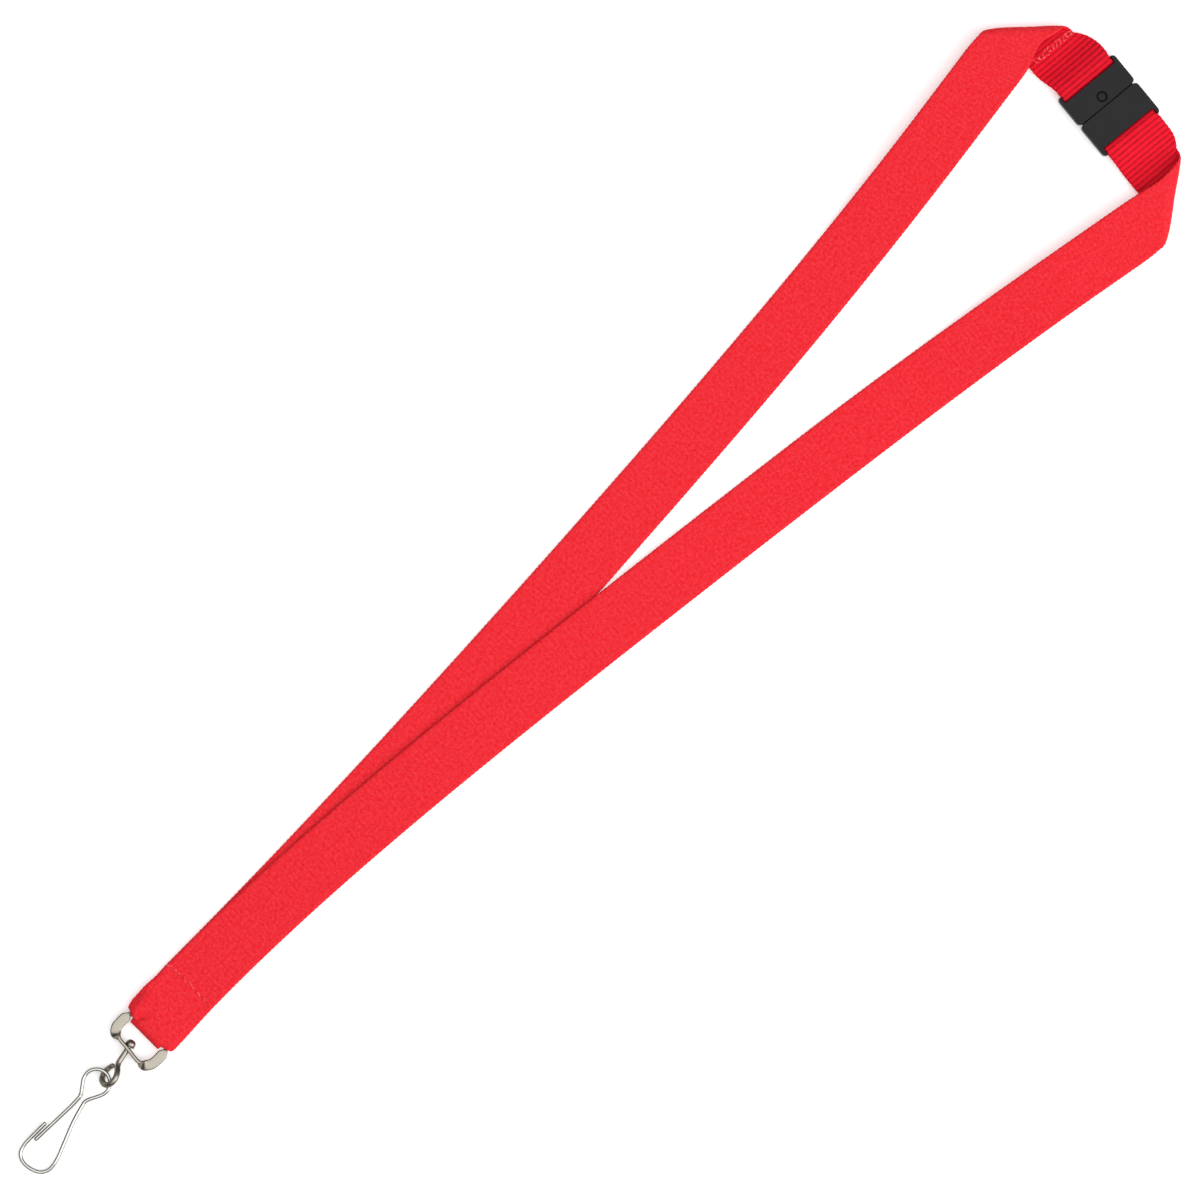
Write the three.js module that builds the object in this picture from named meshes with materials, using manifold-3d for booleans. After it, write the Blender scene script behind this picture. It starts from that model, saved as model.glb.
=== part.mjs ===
// A breakaway neck lanyard lying flat, with its hook towards -Y and its buckle towards +Y.
// Millimetres, +Z up. The strap is one length of webbing; it is split here into the stretches that
// move on their own: two legs, two neck stretches and the loop round the bracket.

import * as THREE from "three";
import { mergeVertices } from "three/addons/utils/BufferGeometryUtils.js";
import Module from "manifold-3d";

const wasm = await Module();
wasm.setup();

// --- Driving dimensions ---------------------------------------------------------------------

const WEB_WIDTH = 20;
const WEB_THICK = 1;
const GAP = 0.3; // between two solids that touch on the real lanyard
const CENTRE = [2.82, -9.26]; // middle of the lanyard's outline, which becomes the origin

// The legs run from the end seam to the cut line, where the flat corner folds begin.
const SEAM_Y = -179;
const LEG_TOP_Y = 204;
const LIFT_START_Y = 120; // each leg climbs from here to its corner fold
const CUT_Y = 184;
const LEFT_LEG_X = [-5.6, -5.4, -13, -16.2, -31.2];
const RIGHT_LEG_X = [-5.3, -6.8, 12.7, 18.3, 37.4];
const LEFT_LEG_START_Y = -177.3; // clear of the loop when the left leg swings about the seam
const RIGHT_LEG_START_Y = -178.7;
const CROSSING_START_Y = 5; // the right leg comes down off the left one between these
const CROSSING_END_Y = 50;
const UNDER_Z = WEB_THICK / 2; // mid-height of webbing lying on the table
const OVER_Z = UNDER_Z + WEB_THICK + GAP; // and of webbing lying on another layer

// Buckle: u runs along it, from the socket to the plug, and v across it.
const BUCKLE_CENTRE = [2.6, 225];
const BUCKLE_TURN = -5.5; // degrees from +X
const BUCKLE_WIDTH = 22.9;
const BUCKLE_HEIGHT = 6;
const BUCKLE_CORNER = 1.2;
const CHEEK = 1.2;
const SOCKET_END = -11.2;
const SOCKET_DECK = -7.9;
const PLUG_END = 12.5;
const PLUG_DECK = 9.3;
const PARTING = 0.2;
const LIP = 0.7; // each deck's top edge reaches over the webbing's turn by this much
const BAR_RADIUS = 0.8;
const BAR_Z = BUCKLE_HEIGHT / 2;
const WRAP_RADIUS = BAR_RADIUS + GAP + WEB_THICK / 2; // mid-surface of the webbing round a bar
const SOCKET_BAR = SOCKET_DECK - GAP - WEB_THICK / 2 - WRAP_RADIUS;
const PLUG_BAR = PLUG_DECK + GAP + WEB_THICK / 2 + WRAP_RADIUS;
const TONGUE_LENGTH = 6.3;
const TONGUE_HALF = 6.5;
const TONGUE_THICK = 1.6;
const CAVITY_HALF = 7.4; // wider than the tongue, because the socket leaves on an arc
const CAVITY_HEIGHT = 2.8;
const CAVITY_DEPTH = 7;
const SHOULDER = 0.6; // the tongue's wide root, which seats in the socket's mouth
const SHOULDER_HALF = 10.3;
const MOUTH_DEPTH = 0.8;
const MOUTH_HALF = 10.5;
const HOLE_U = -2.9;
const HOLE_RADIUS = 1.8;
const NUB_RADIUS = 1.1;
const NUB_RISE = 0.4;

// Corner folds: the leg lies on top, and the neck stretch comes out underneath.
const NECK_Z = 1.9;
const FOLD_RADIUS = 2;
const LEG_FOLD_Z = NECK_Z + 2 * FOLD_RADIUS;
const LEFT_TUCK = 3.5; // how far each fold is pulled in towards the neck opening
const RIGHT_TUCK = 2.1;
const TUCK_SPAN = 22; // over this much of the leg the webbing is gathered to pull the fold in
const LEFT_SETTLE = 7.5; // over this much of the neck stretch each side comes back into line
const RIGHT_SETTLE = 4;
const TUCK_EASE = 0.45; // the edge that runs on outside the neck is pulled in by this share less
const NECK_RISE_START = 22; // the neck stretch climbs to its buckle bar over these u distances
const NECK_RISE_END = 11.5;
const LEFT_SEAM_U = 24.9;
const RIGHT_SEAM_U = 27;
const TAIL_PAST_SEAM = 2.5;
const TAIL_TRIM = 5.5; // the tail's outer corner is cut back to stay under the fold
const TRIM_START = 14;
const TRIM_END = 28;

// Loop round the bracket's top bar, and the bracket itself.
const LOOP_X = -4.6;
const LOOP_Y = -197.5;
const LOOP_RADIUS = 2;
const LOOP_Z = UNDER_Z + LOOP_RADIUS;
const LOOP_HALF = 6.15;
const LOOP_NARROW_Y = -195;
const LOOP_FULL_Y = -189;
const BRACKET_TILT = -2.5;
const PLATE = 1.2;
const BRACKET_TOP_HALF = 9.5;
const BRACKET_WIDE_HALF = 9.9;
const BRACKET_FOOT_HALF = 6.7;
const BRACKET_CORNER = 1.5;
const BRACKET_HEAD_Y = 1; // half the top bar's width
const BRACKET_WIDE_Y = -4.5;
const BRACKET_FOOT_Y = -9.7;
const WINDOW_HALF = 6.5;
const WINDOW_CORNER = 2.5;
const BAR_SLOPE = 3; // the lower bar's height grows over this much of each end
const LOWER_BAR_Y = BRACKET_FOOT_Y + PLATE / 2;
const LOWER_BAR_HEIGHT = 3.4;

// Sewing: each row is a low ridge of thread on the webbing.
const THREAD = 0.4;
const SEAM_WIDTH = 0.8;
const END_SEAM_HALF = 9.2;
const END_SEAM_ABOVE = 1; // from SEAM_Y, where the strap's two layers part
const NECK_SEAM_LOW = -9;
const NECK_SEAM_HIGH = 5;

// How finely the webbing and the wire are divided.
const STRAIGHT_ACROSS = 2;
const FOLD_ACROSS = 8;
const LEG_STEPS = 46;
const NECK_STEPS = 76;
const LOOP_STEPS = 64;
const HOOK_STEPS = 90;
const GATE_STEPS = 8;

// Swivel: its axis runs through the lower bar, canted towards +X.
const SWIVEL_X = -0.7;
const SWIVEL_CANT = 11.5;
const SHANK_RADIUS = 0.8;
const SHANK_HOLE_RADIUS = 1.15;
const HEAD_RADIUS = 1.45;
const HEAD_THICK = 1.1;
const EYE_DISTANCE = 10;
const EYE_LONG = 3.4;
const EYE_WIDE = 2.9;
const EYE_WIRE = 0.8;
const EYE_TWIST = -48;

// Spring hook, bent from one wire, in its own plane with its upper loop about the origin.
const HOOK_PIVOT = [-4.7, -221.2, 2.7];
const HOOK_TILT = 3.3;
const HOOK_WIRE = 0.6;
const HOOK_LOOP_RADIUS = 4.3;
const HOOK_BELOW_LOOP = [
  [-2.4, -20.9], [-2.4, -26], [-2.3, -30], [-1.3, -33], [1, -34.4], [4.1, -34.4], [7.5, -32.9],
  [8.9, -30.2], [8.5, -26.8], [6.65, -21.8], [3.8, -14.6], [2, -8.4], [1.75, -6.6],
];
const HOOK_NECK_END = [[-3.7, -2.3], [-0.65, -6.2], [-0.45, -6.8]];
const GATE_START = [-0.45, -7.1];
const GATE_END = [-0.85, -26.5];

// --- Materials ------------------------------------------------------------------------------

const webbing = new THREE.MeshStandardMaterial({ color: "#ee2f38", roughness: 0.85, metalness: 0 });
const thread = new THREE.MeshStandardMaterial({ color: "#f2464c", roughness: 0.7, metalness: 0 });
const acetal = new THREE.MeshStandardMaterial({ color: "#3a3a3c", roughness: 0.5, metalness: 0 });
const nickel = new THREE.MeshStandardMaterial({ color: "#a39d94", roughness: 0.3, metalness: 1 });
const spring = new THREE.MeshStandardMaterial({ color: "#c9c8c5", roughness: 0.2, metalness: 1 });

// --- Helpers --------------------------------------------------------------------------------

const radians = THREE.MathUtils.degToRad;
const ramp = (value, from, to) => THREE.MathUtils.smoothstep(value, from, to);

function solid(geometry) {
  const bare = geometry.clone();
  bare.deleteAttribute("normal");
  bare.deleteAttribute("uv");
  const merged = mergeVertices(bare, 1e-4);
  return new wasm.Manifold(new wasm.Mesh({
    numProp: 3,
    vertProperties: merged.attributes.position.array,
    triVerts: new Uint32Array(merged.index.array),
  }));
}

function geometryOf(manifold) {
  const made = manifold.getMesh();
  const geometry = new THREE.BufferGeometry();
  geometry.setAttribute("position", new THREE.BufferAttribute(made.vertProperties, 3));
  geometry.setIndex(new THREE.BufferAttribute(made.triVerts, 1));
  geometry.computeVertexNormals();
  return geometry;
}

function named(name, geometry, material) {
  const mesh = new THREE.Mesh(geometry, material);
  mesh.name = name;
  return mesh;
}

function group(...children) {
  const made = new THREE.Group();
  made.add(...children);
  return made;
}

function box(x0, x1, y0, y1, z0, z1) {
  const made = new THREE.BoxGeometry(x1 - x0, y1 - y0, z1 - z0);
  return made.translate((x0 + x1) / 2, (y0 + y1) / 2, (z0 + z1) / 2);
}

// A plate with rounded corners, from z0 to z1.
function roundedPlate(x0, x1, y0, y1, z0, z1, corner) {
  const shape = new THREE.Shape();
  shape.absarc(x1 - corner, y0 + corner, corner, -Math.PI / 2, 0);
  shape.absarc(x1 - corner, y1 - corner, corner, 0, Math.PI / 2);
  shape.absarc(x0 + corner, y1 - corner, corner, Math.PI / 2, Math.PI);
  shape.absarc(x0 + corner, y0 + corner, corner, Math.PI, 1.5 * Math.PI);
  const settings = { depth: z1 - z0, bevelEnabled: false, curveSegments: 5 };
  return new THREE.ExtrudeGeometry(shape, settings).translate(0, 0, z0);
}

// A closed strip of webbing. surface(u, s) gives its middle surface, where u runs across it
// from -1 to 1 and s along it in millimetres; the strip is thickened along the surface's normal.
function strip(surface, start, end, across, along) {
  const made = new THREE.BoxGeometry(2, end - start, 1, across, along, 1);
  const place = made.attributes.position;
  const step = 0.01;
  const alongside = new THREE.Vector3();
  const ahead = new THREE.Vector3();
  for (let i = 0; i < place.count; i++) {
    const u = place.getX(i);
    const s = place.getY(i) + (start + end) / 2;
    const middle = surface(u, s);
    alongside.subVectors(surface(u + step, s), surface(u - step, s));
    ahead.subVectors(surface(u, s + step), surface(u, s - step));
    const normal = alongside.cross(ahead).normalize();
    middle.addScaledVector(normal, place.getZ(i) * WEB_THICK);
    place.setXYZ(i, middle.x, middle.y, middle.z);
  }
  return made;
}

// --- Legs -----------------------------------------------------------------------------------

// A leg's middle line as x against y: a smooth quartic sweep, then straight past LEG_TOP_Y.
function legX(sweep, y) {
  const t = Math.min((y - SEAM_Y) / (LEG_TOP_Y - SEAM_Y), 1);
  const r = 1 - t;
  const [a, b, c, d, e] = sweep;
  const x = a * r ** 4 + 4 * b * r ** 3 * t + 6 * c * r * r * t * t + 4 * d * r * t ** 3 + e * t ** 4;
  return x + Math.max(y - LEG_TOP_Y, 0) * (4 * (e - d)) / (LEG_TOP_Y - SEAM_Y);
}

function legHeading(sweep, y) {
  return new THREE.Vector2(legX(sweep, y + 0.05) - legX(sweep, y - 0.05), 0.1).normalize();
}

const leftLegZ = (y) => UNDER_Z + (LEG_FOLD_Z - UNDER_Z) * ramp(y, LIFT_START_Y, CUT_Y);
const rightLegZ = (y) => OVER_Z + (UNDER_Z - OVER_Z) * ramp(y, CROSSING_START_Y, CROSSING_END_Y)
  + (LEG_FOLD_Z - UNDER_Z) * ramp(y, LIFT_START_Y, CUT_Y);

function leg(name, sweep, height, startY) {
  const surface = (u, y) => {
    const heading = legHeading(sweep, y);
    const aside = (u * WEB_WIDTH) / 2;
    return new THREE.Vector3(legX(sweep, y) + aside * heading.y, y - aside * heading.x, height(y));
  };
  return named(name, strip(surface, startY, CUT_Y - GAP, STRAIGHT_ACROSS, LEG_STEPS), webbing);
}

// --- Corner folds and neck stretches --------------------------------------------------------

const buckleAxis = new THREE.Vector2(Math.cos(radians(BUCKLE_TURN)), Math.sin(radians(BUCKLE_TURN)));
const buckleCross = new THREE.Vector2(-buckleAxis.y, buckleAxis.x);
const buckleCentre = new THREE.Vector2(...BUCKLE_CENTRE);

// side is -1 for the left stretch, which runs towards +u, and 1 for the right one.
function neck(name, sweep, side, bar, tuck, settle, seam) {
  const entry = new THREE.Vector2(legX(sweep, CUT_Y), CUT_Y);
  const inward = legHeading(sweep, CUT_Y);
  const outward = buckleAxis.clone().multiplyScalar(-side);
  // The two middle lines cross at the fold's corner point.
  const toBuckle = buckleCentre.clone().sub(entry);
  const run = toBuckle.cross(outward) / inward.cross(outward);
  const corner = entry.clone().addScaledVector(inward, run);
  const normal = inward.clone().sub(outward).normalize();
  const bendStart = corner.dot(normal) - (Math.PI / 2) * FOLD_RADIUS;
  const tailEnd = seam + TAIL_PAST_SEAM;
  const neckRun = corner.clone().sub(buckleCentre).length() - Math.abs(bar);
  const length = run + neckRun + Math.PI * WRAP_RADIUS + tailEnd - Math.abs(bar);
  const fullSlide = tuck / inward.dot(normal);

  const surface = (u, s) => {
    const aside = (u * WEB_WIDTH) / 2;
    const slide = fullSlide * (1 - TUCK_EASE * Math.max(-side * u, 0) ** 2);
    const flat = entry.clone().addScaledVector(inward, s);
    flat.add(new THREE.Vector2(inward.y, -inward.x).multiplyScalar(aside));
    const past = flat.dot(normal) - bendStart;
    const bend = THREE.MathUtils.clamp(past / FOLD_RADIUS, 0, Math.PI);
    const after = Math.max(past - Math.PI * FOLD_RADIUS, 0);
    const shift = FOLD_RADIUS * Math.sin(bend) - Math.max(past, 0) - after;
    flat.addScaledVector(normal, shift);
    flat.addScaledVector(inward, -slide * ramp(past, -TUCK_SPAN, 0));
    let z = LEG_FOLD_Z - FOLD_RADIUS * (1 - Math.cos(bend));

    const centred = flat.clone().sub(buckleCentre);
    let distance = centred.dot(buckleAxis) * side; // from the buckle's centre, shrinking
    let v = centred.dot(buckleCross);
    if (bend === Math.PI) {
      v += inward.dot(buckleCross) * slide * (1 - (1 - Math.min(after / settle, 1)) ** 2);
      const barDistance = Math.abs(bar);
      const topZ = BAR_Z + WRAP_RADIUS;
      const wrap = THREE.MathUtils.clamp((barDistance - distance) / WRAP_RADIUS, 0, Math.PI);
      const tail = barDistance - distance - Math.PI * WRAP_RADIUS;
      if (tail > 0) {
        distance = barDistance + tail;
        v -= TAIL_TRIM * ramp(distance, TRIM_START, TRIM_END) * ramp(v, 0, WEB_WIDTH / 2);
        const lowZ = BAR_Z - WRAP_RADIUS;
        z = lowZ + (UNDER_Z - lowZ) * ramp(distance, NECK_RISE_END, NECK_RISE_START);
      } else if (wrap > 0) {
        distance = barDistance - WRAP_RADIUS * Math.sin(wrap);
        z = BAR_Z + WRAP_RADIUS * Math.cos(wrap);
      } else {
        z = topZ + (NECK_Z - topZ) * ramp(distance, NECK_RISE_END, NECK_RISE_START);
      }
    }
    const place = buckleCentre.clone().addScaledVector(buckleAxis, distance * side);
    place.addScaledVector(buckleCross, v);
    return new THREE.Vector3(place.x, place.y, z);
  };
  return named(name, strip(surface, 0, length, FOLD_ACROSS, NECK_STEPS), webbing);
}

function neckSeam(name, side, seam) {
  const floor = NECK_Z + WEB_THICK / 2 + GAP;
  const [near, far] = [seam * side - SEAM_WIDTH / 2, seam * side + SEAM_WIDTH / 2];
  const stitches = box(near, far, NECK_SEAM_LOW, NECK_SEAM_HIGH, floor, floor + THREAD);
  return named(name, stitches, thread);
}

// --- Loop round the bracket ----------------------------------------------------------------

function endLoop() {
  const start = SEAM_Y;
  const straight = start - LOOP_Y;
  const length = 2 * straight + Math.PI * LOOP_RADIUS - GAP;
  const surface = (u, s) => {
    const down = Math.min(s, straight);
    const turn = THREE.MathUtils.clamp((s - straight) / LOOP_RADIUS, 0, Math.PI);
    const back = Math.max(s - straight - Math.PI * LOOP_RADIUS, 0);
    const y = start - down - LOOP_RADIUS * Math.sin(turn) + back;
    const narrow = 1 - ramp(y, LOOP_NARROW_Y, LOOP_FULL_Y);
    const half = WEB_WIDTH / 2 + (LOOP_HALF - WEB_WIDTH / 2) * narrow;
    const x = legX(RIGHT_LEG_X, start) + (LOOP_X - legX(RIGHT_LEG_X, start)) * narrow;
    const lift = 1 - ramp(y, LOOP_NARROW_Y, start);
    const upper = OVER_Z + (LOOP_Z + LOOP_RADIUS - OVER_Z) * lift;
    const z = turn > 0 ? LOOP_Z + LOOP_RADIUS * Math.cos(turn) : upper;
    return new THREE.Vector3(x - u * half, y, z);
  };
  return named("end_loop", strip(surface, 0, length, STRAIGHT_ACROSS, LOOP_STEPS), webbing);
}

function endSeam() {
  const floor = OVER_Z + WEB_THICK / 2 + GAP;
  const x = legX(RIGHT_LEG_X, SEAM_Y);
  const low = SEAM_Y + END_SEAM_ABOVE;
  const stitches = box(x - END_SEAM_HALF, x + END_SEAM_HALF, low, low + SEAM_WIDTH, floor, floor + THREAD);
  return named("end_seam_thread", stitches, thread);
}

// --- Buckle ---------------------------------------------------------------------------------

function buckleHalf(end, deck, bar) {
  const half = BUCKLE_WIDTH / 2;
  const face = Math.sign(end) * PARTING;
  const [low, high] = [Math.min(end, face), Math.max(end, face)];
  let body = solid(roundedPlate(low, high, -half, half, 0, BUCKLE_HEIGHT, BUCKLE_CORNER));
  const out = Math.sign(end);
  for (const [edge, top] of [[deck, BUCKLE_HEIGHT - LIP], [deck + out * LIP, BUCKLE_HEIGHT + 1]]) {
    const [near, far] = [Math.min(edge, end + out), Math.max(edge, end + out)];
    body = body.subtract(solid(box(near, far, CHEEK - half, half - CHEEK, -1, top)));
  }
  const crossBar = new THREE.CylinderGeometry(BAR_RADIUS, BAR_RADIUS, BUCKLE_WIDTH - CHEEK, 12);
  crossBar.translate(bar, 0, BAR_Z);
  return body.add(solid(crossBar));
}

function socket() {
  const low = BAR_Z - CAVITY_HEIGHT / 2;
  const cavity = box(-CAVITY_DEPTH, 1, -CAVITY_HALF, CAVITY_HALF, low, low + CAVITY_HEIGHT);
  const mouth = box(-MOUTH_DEPTH, 1, -MOUTH_HALF, MOUTH_HALF, low, low + CAVITY_HEIGHT);
  const hole = new THREE.CylinderGeometry(HOLE_RADIUS, HOLE_RADIUS, BUCKLE_HEIGHT, 24);
  hole.rotateX(Math.PI / 2).translate(HOLE_U, 0, BUCKLE_HEIGHT);
  let body = buckleHalf(SOCKET_END, SOCKET_DECK, SOCKET_BAR);
  for (const hollow of [cavity, mouth, hole]) {
    body = body.subtract(solid(hollow));
  }
  return named("buckle_socket", geometryOf(body), acetal);
}

function plug() {
  const low = BAR_Z - TONGUE_THICK / 2;
  const tongue = roundedPlate(-TONGUE_LENGTH, 2, -TONGUE_HALF, TONGUE_HALF, low, low + TONGUE_THICK, 1);
  const shoulder = box(-SHOULDER, 1, -SHOULDER_HALF, SHOULDER_HALF, low, low + TONGUE_THICK);
  const nub = new THREE.CylinderGeometry(NUB_RADIUS, NUB_RADIUS, 1, 20);
  nub.rotateX(Math.PI / 2).translate(HOLE_U, 0, low + TONGUE_THICK + NUB_RISE - 0.5);
  let body = buckleHalf(PLUG_END, PLUG_DECK, PLUG_BAR);
  for (const extra of [tongue, shoulder, nub]) {
    body = body.add(solid(extra));
  }
  return named("buckle_plug", geometryOf(body), acetal);
}

// --- Bracket, swivel and hook ---------------------------------------------------------------

function bracket() {
  const outline = new THREE.Shape();
  const [top, low] = [BRACKET_HEAD_Y, BRACKET_HEAD_Y - BRACKET_CORNER];
  outline.moveTo(BRACKET_CORNER - BRACKET_TOP_HALF, top);
  outline.lineTo(BRACKET_TOP_HALF - BRACKET_CORNER, top);
  outline.quadraticCurveTo(BRACKET_TOP_HALF, top, BRACKET_TOP_HALF, low);
  outline.lineTo(BRACKET_WIDE_HALF, BRACKET_WIDE_Y);
  outline.quadraticCurveTo(BRACKET_WIDE_HALF, BRACKET_FOOT_Y, BRACKET_FOOT_HALF, BRACKET_FOOT_Y);
  outline.lineTo(-BRACKET_FOOT_HALF, BRACKET_FOOT_Y);
  outline.quadraticCurveTo(-BRACKET_WIDE_HALF, BRACKET_FOOT_Y, -BRACKET_WIDE_HALF, BRACKET_WIDE_Y);
  outline.lineTo(-BRACKET_TOP_HALF, low);
  outline.quadraticCurveTo(-BRACKET_TOP_HALF, top, BRACKET_CORNER - BRACKET_TOP_HALF, top);
  const foot = BRACKET_FOOT_Y + PLATE;
  const window = new THREE.Path();
  window.moveTo(-WINDOW_HALF, -BRACKET_HEAD_Y);
  window.lineTo(-WINDOW_HALF, foot + WINDOW_CORNER);
  window.quadraticCurveTo(-WINDOW_HALF, foot, WINDOW_CORNER - WINDOW_HALF, foot);
  window.lineTo(WINDOW_HALF - WINDOW_CORNER, foot);
  window.quadraticCurveTo(WINDOW_HALF, foot, WINDOW_HALF, foot + WINDOW_CORNER);
  window.lineTo(WINDOW_HALF, -BRACKET_HEAD_Y);
  outline.holes.push(window);
  const plate = new THREE.ExtrudeGeometry(outline, { depth: PLATE, bevelEnabled: false, curveSegments: 8 });
  plate.translate(0, 0, -PLATE / 2);

  // The lower bar stands on edge, so it is drawn from the side as a tall hexagon.
  const side = new THREE.Shape();
  const shoulder = WINDOW_HALF - BAR_SLOPE;
  side.moveTo(-WINDOW_HALF, -PLATE / 2);
  side.lineTo(-shoulder, -LOWER_BAR_HEIGHT / 2);
  side.lineTo(shoulder, -LOWER_BAR_HEIGHT / 2);
  side.lineTo(WINDOW_HALF, -PLATE / 2);
  side.lineTo(WINDOW_HALF, PLATE / 2);
  side.lineTo(shoulder, LOWER_BAR_HEIGHT / 2);
  side.lineTo(-shoulder, LOWER_BAR_HEIGHT / 2);
  side.lineTo(-WINDOW_HALF, PLATE / 2);
  const lowerBar = new THREE.ExtrudeGeometry(side, { depth: PLATE, bevelEnabled: false });
  lowerBar.rotateX(Math.PI / 2).translate(0, LOWER_BAR_Y + PLATE / 2, 0);

  const bore = new THREE.CylinderGeometry(SHANK_HOLE_RADIUS, SHANK_HOLE_RADIUS, 5 * PLATE, 20);
  bore.rotateZ(radians(SWIVEL_CANT)).translate(SWIVEL_X, LOWER_BAR_Y, 0);
  const body = solid(plate).add(solid(lowerBar)).subtract(solid(bore));
  return named("swivel_bracket", geometryOf(body), nickel);
}

function swivelEye() {
  const headFloor = PLATE / 2 + 2 * GAP;
  const profile = [
    [0, EYE_WIDE - EYE_DISTANCE], [SHANK_RADIUS, EYE_WIDE - EYE_DISTANCE], [SHANK_RADIUS, headFloor],
    [HEAD_RADIUS, headFloor], [HEAD_RADIUS, headFloor + 0.6 * HEAD_THICK],
    [0.6 * HEAD_RADIUS, headFloor + HEAD_THICK], [0, headFloor + HEAD_THICK],
  ].map(([r, y]) => new THREE.Vector2(r, y));
  const pin = new THREE.LatheGeometry(profile, 20);
  const eye = new THREE.TorusGeometry(EYE_WIDE, EYE_WIRE, 10, 36);
  eye.scale(1, EYE_LONG / EYE_WIDE, 1).rotateY(radians(EYE_TWIST)).translate(0, -EYE_DISTANCE, 0);
  return named("swivel_eye", geometryOf(solid(pin).add(solid(eye))), nickel);
}

function wire(name, points, steps) {
  const places = points.map(([x, y]) => new THREE.Vector3(x, y, 0));
  const path = new THREE.CatmullRomCurve3(places, false, "centripetal");
  const section = new THREE.Shape();
  section.absarc(0, 0, HOOK_WIRE, 0, 2 * Math.PI);
  const settings = { steps, curveSegments: 4, extrudePath: path };
  return named(name, new THREE.ExtrudeGeometry(section, settings), spring);
}

function hookWire() {
  const loop = [];
  for (let angle = -20; angle <= 200; angle += 20) {
    loop.push([HOOK_LOOP_RADIUS * Math.cos(radians(angle)), HOOK_LOOP_RADIUS * Math.sin(radians(angle))]);
  }
  return wire("hook_wire", [...HOOK_BELOW_LOOP, ...loop, ...HOOK_NECK_END], HOOK_STEPS);
}

// --- Assembly -------------------------------------------------------------------------------

const buckle = group(
  socket(),
  plug(),
  neckSeam("left_neck_seam", -1, LEFT_SEAM_U),
  neckSeam("right_neck_seam", 1, RIGHT_SEAM_U),
);
buckle.position.set(...BUCKLE_CENTRE, 0);
buckle.rotation.z = radians(BUCKLE_TURN);

const swivel = group(swivelEye());
swivel.position.set(SWIVEL_X, LOWER_BAR_Y, 0);
swivel.rotation.z = radians(SWIVEL_CANT);

const hanger = group(bracket(), swivel);
hanger.position.set(LOOP_X, LOOP_Y, LOOP_Z);
hanger.rotation.x = radians(BRACKET_TILT);

const hook = group(hookWire(), wire("hook_gate", [GATE_START, GATE_END], GATE_STEPS));
hook.position.set(...HOOK_PIVOT);
hook.rotation.x = radians(HOOK_TILT);

const lanyard = group(
  leg("left_leg", LEFT_LEG_X, leftLegZ, LEFT_LEG_START_Y),
  leg("right_leg", RIGHT_LEG_X, rightLegZ, RIGHT_LEG_START_Y),
  neck("left_neck", LEFT_LEG_X, -1, SOCKET_BAR, LEFT_TUCK, LEFT_SETTLE, LEFT_SEAM_U),
  neck("right_neck", RIGHT_LEG_X, 1, PLUG_BAR, RIGHT_TUCK, RIGHT_SETTLE, RIGHT_SEAM_U),
  endLoop(),
  endSeam(),
  buckle,
  hanger,
  hook,
);
lanyard.position.set(-CENTRE[0], -CENTRE[1], 0);

export default lanyard;
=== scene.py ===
# %% [markdown]
# # A breakaway neck lanyard
# One length of ribbed 20 mm webbing, a two-part breakaway buckle behind the neck, and a swivelling
# wire hook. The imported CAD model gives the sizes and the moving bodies. This script builds what the
# eye sees around it: every piece here is made from a middle line or a middle surface and a section,
# because that is also how webbing, strip and wire are made.

# %% The frame
import math

import bmesh
import bpy
import numpy as np
from mathutils import Matrix, Vector


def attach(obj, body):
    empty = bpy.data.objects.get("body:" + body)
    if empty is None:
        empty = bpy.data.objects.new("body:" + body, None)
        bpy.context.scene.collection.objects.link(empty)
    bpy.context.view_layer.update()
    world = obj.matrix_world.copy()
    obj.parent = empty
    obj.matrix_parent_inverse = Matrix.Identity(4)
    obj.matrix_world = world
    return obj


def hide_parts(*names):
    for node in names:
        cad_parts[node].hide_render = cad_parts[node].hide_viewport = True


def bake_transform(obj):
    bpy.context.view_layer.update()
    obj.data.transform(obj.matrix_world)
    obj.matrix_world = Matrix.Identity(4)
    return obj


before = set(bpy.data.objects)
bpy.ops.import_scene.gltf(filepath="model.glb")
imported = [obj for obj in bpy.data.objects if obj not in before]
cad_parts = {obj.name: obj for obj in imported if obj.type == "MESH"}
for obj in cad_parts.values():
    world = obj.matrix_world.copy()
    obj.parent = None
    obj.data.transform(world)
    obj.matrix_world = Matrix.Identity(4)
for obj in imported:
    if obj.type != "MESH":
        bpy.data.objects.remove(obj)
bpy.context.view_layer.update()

MM = 0.001

# %% [markdown]
# ## Camera
# The lanyard lies on a table and is seen from straight above through a long lens, turned by an
# eighth of a turn so that it runs from corner to corner. A long lens keeps both ends at one scale.

# %% Camera
FIELD = 381 * MM
CAMERA_HEIGHT = 3.2
SENSOR = 36
VIEW_CENTRE = (-2.82 * MM, 9.26 * MM)

lens = bpy.data.cameras.new("camera")
lens.sensor_width = SENSOR
lens.lens = SENSOR * CAMERA_HEIGHT / FIELD
lens.clip_end = 10
camera = bpy.data.objects.new("camera", lens)
camera.location = (*VIEW_CENTRE, CAMERA_HEIGHT)
camera.rotation_euler = (0, 0, math.radians(45))
bpy.context.scene.collection.objects.link(camera)
bpy.context.scene.camera = camera
print("lens in mm:", round(lens.lens))

# %% [markdown]
# ## Skinning
# A strip, a wire or a bent bar is a stack of closed rings. Joining each ring to the next makes clean
# quads that follow the material, and a cap at each end closes the skin. Every piece of webbing, wire
# and bent metal below goes through this one function.

# %% Skin a stack of rings
def new_object(name, mesh):
    made = bpy.data.objects.new(name, mesh)
    bpy.context.scene.collection.objects.link(made)
    return made


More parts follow.
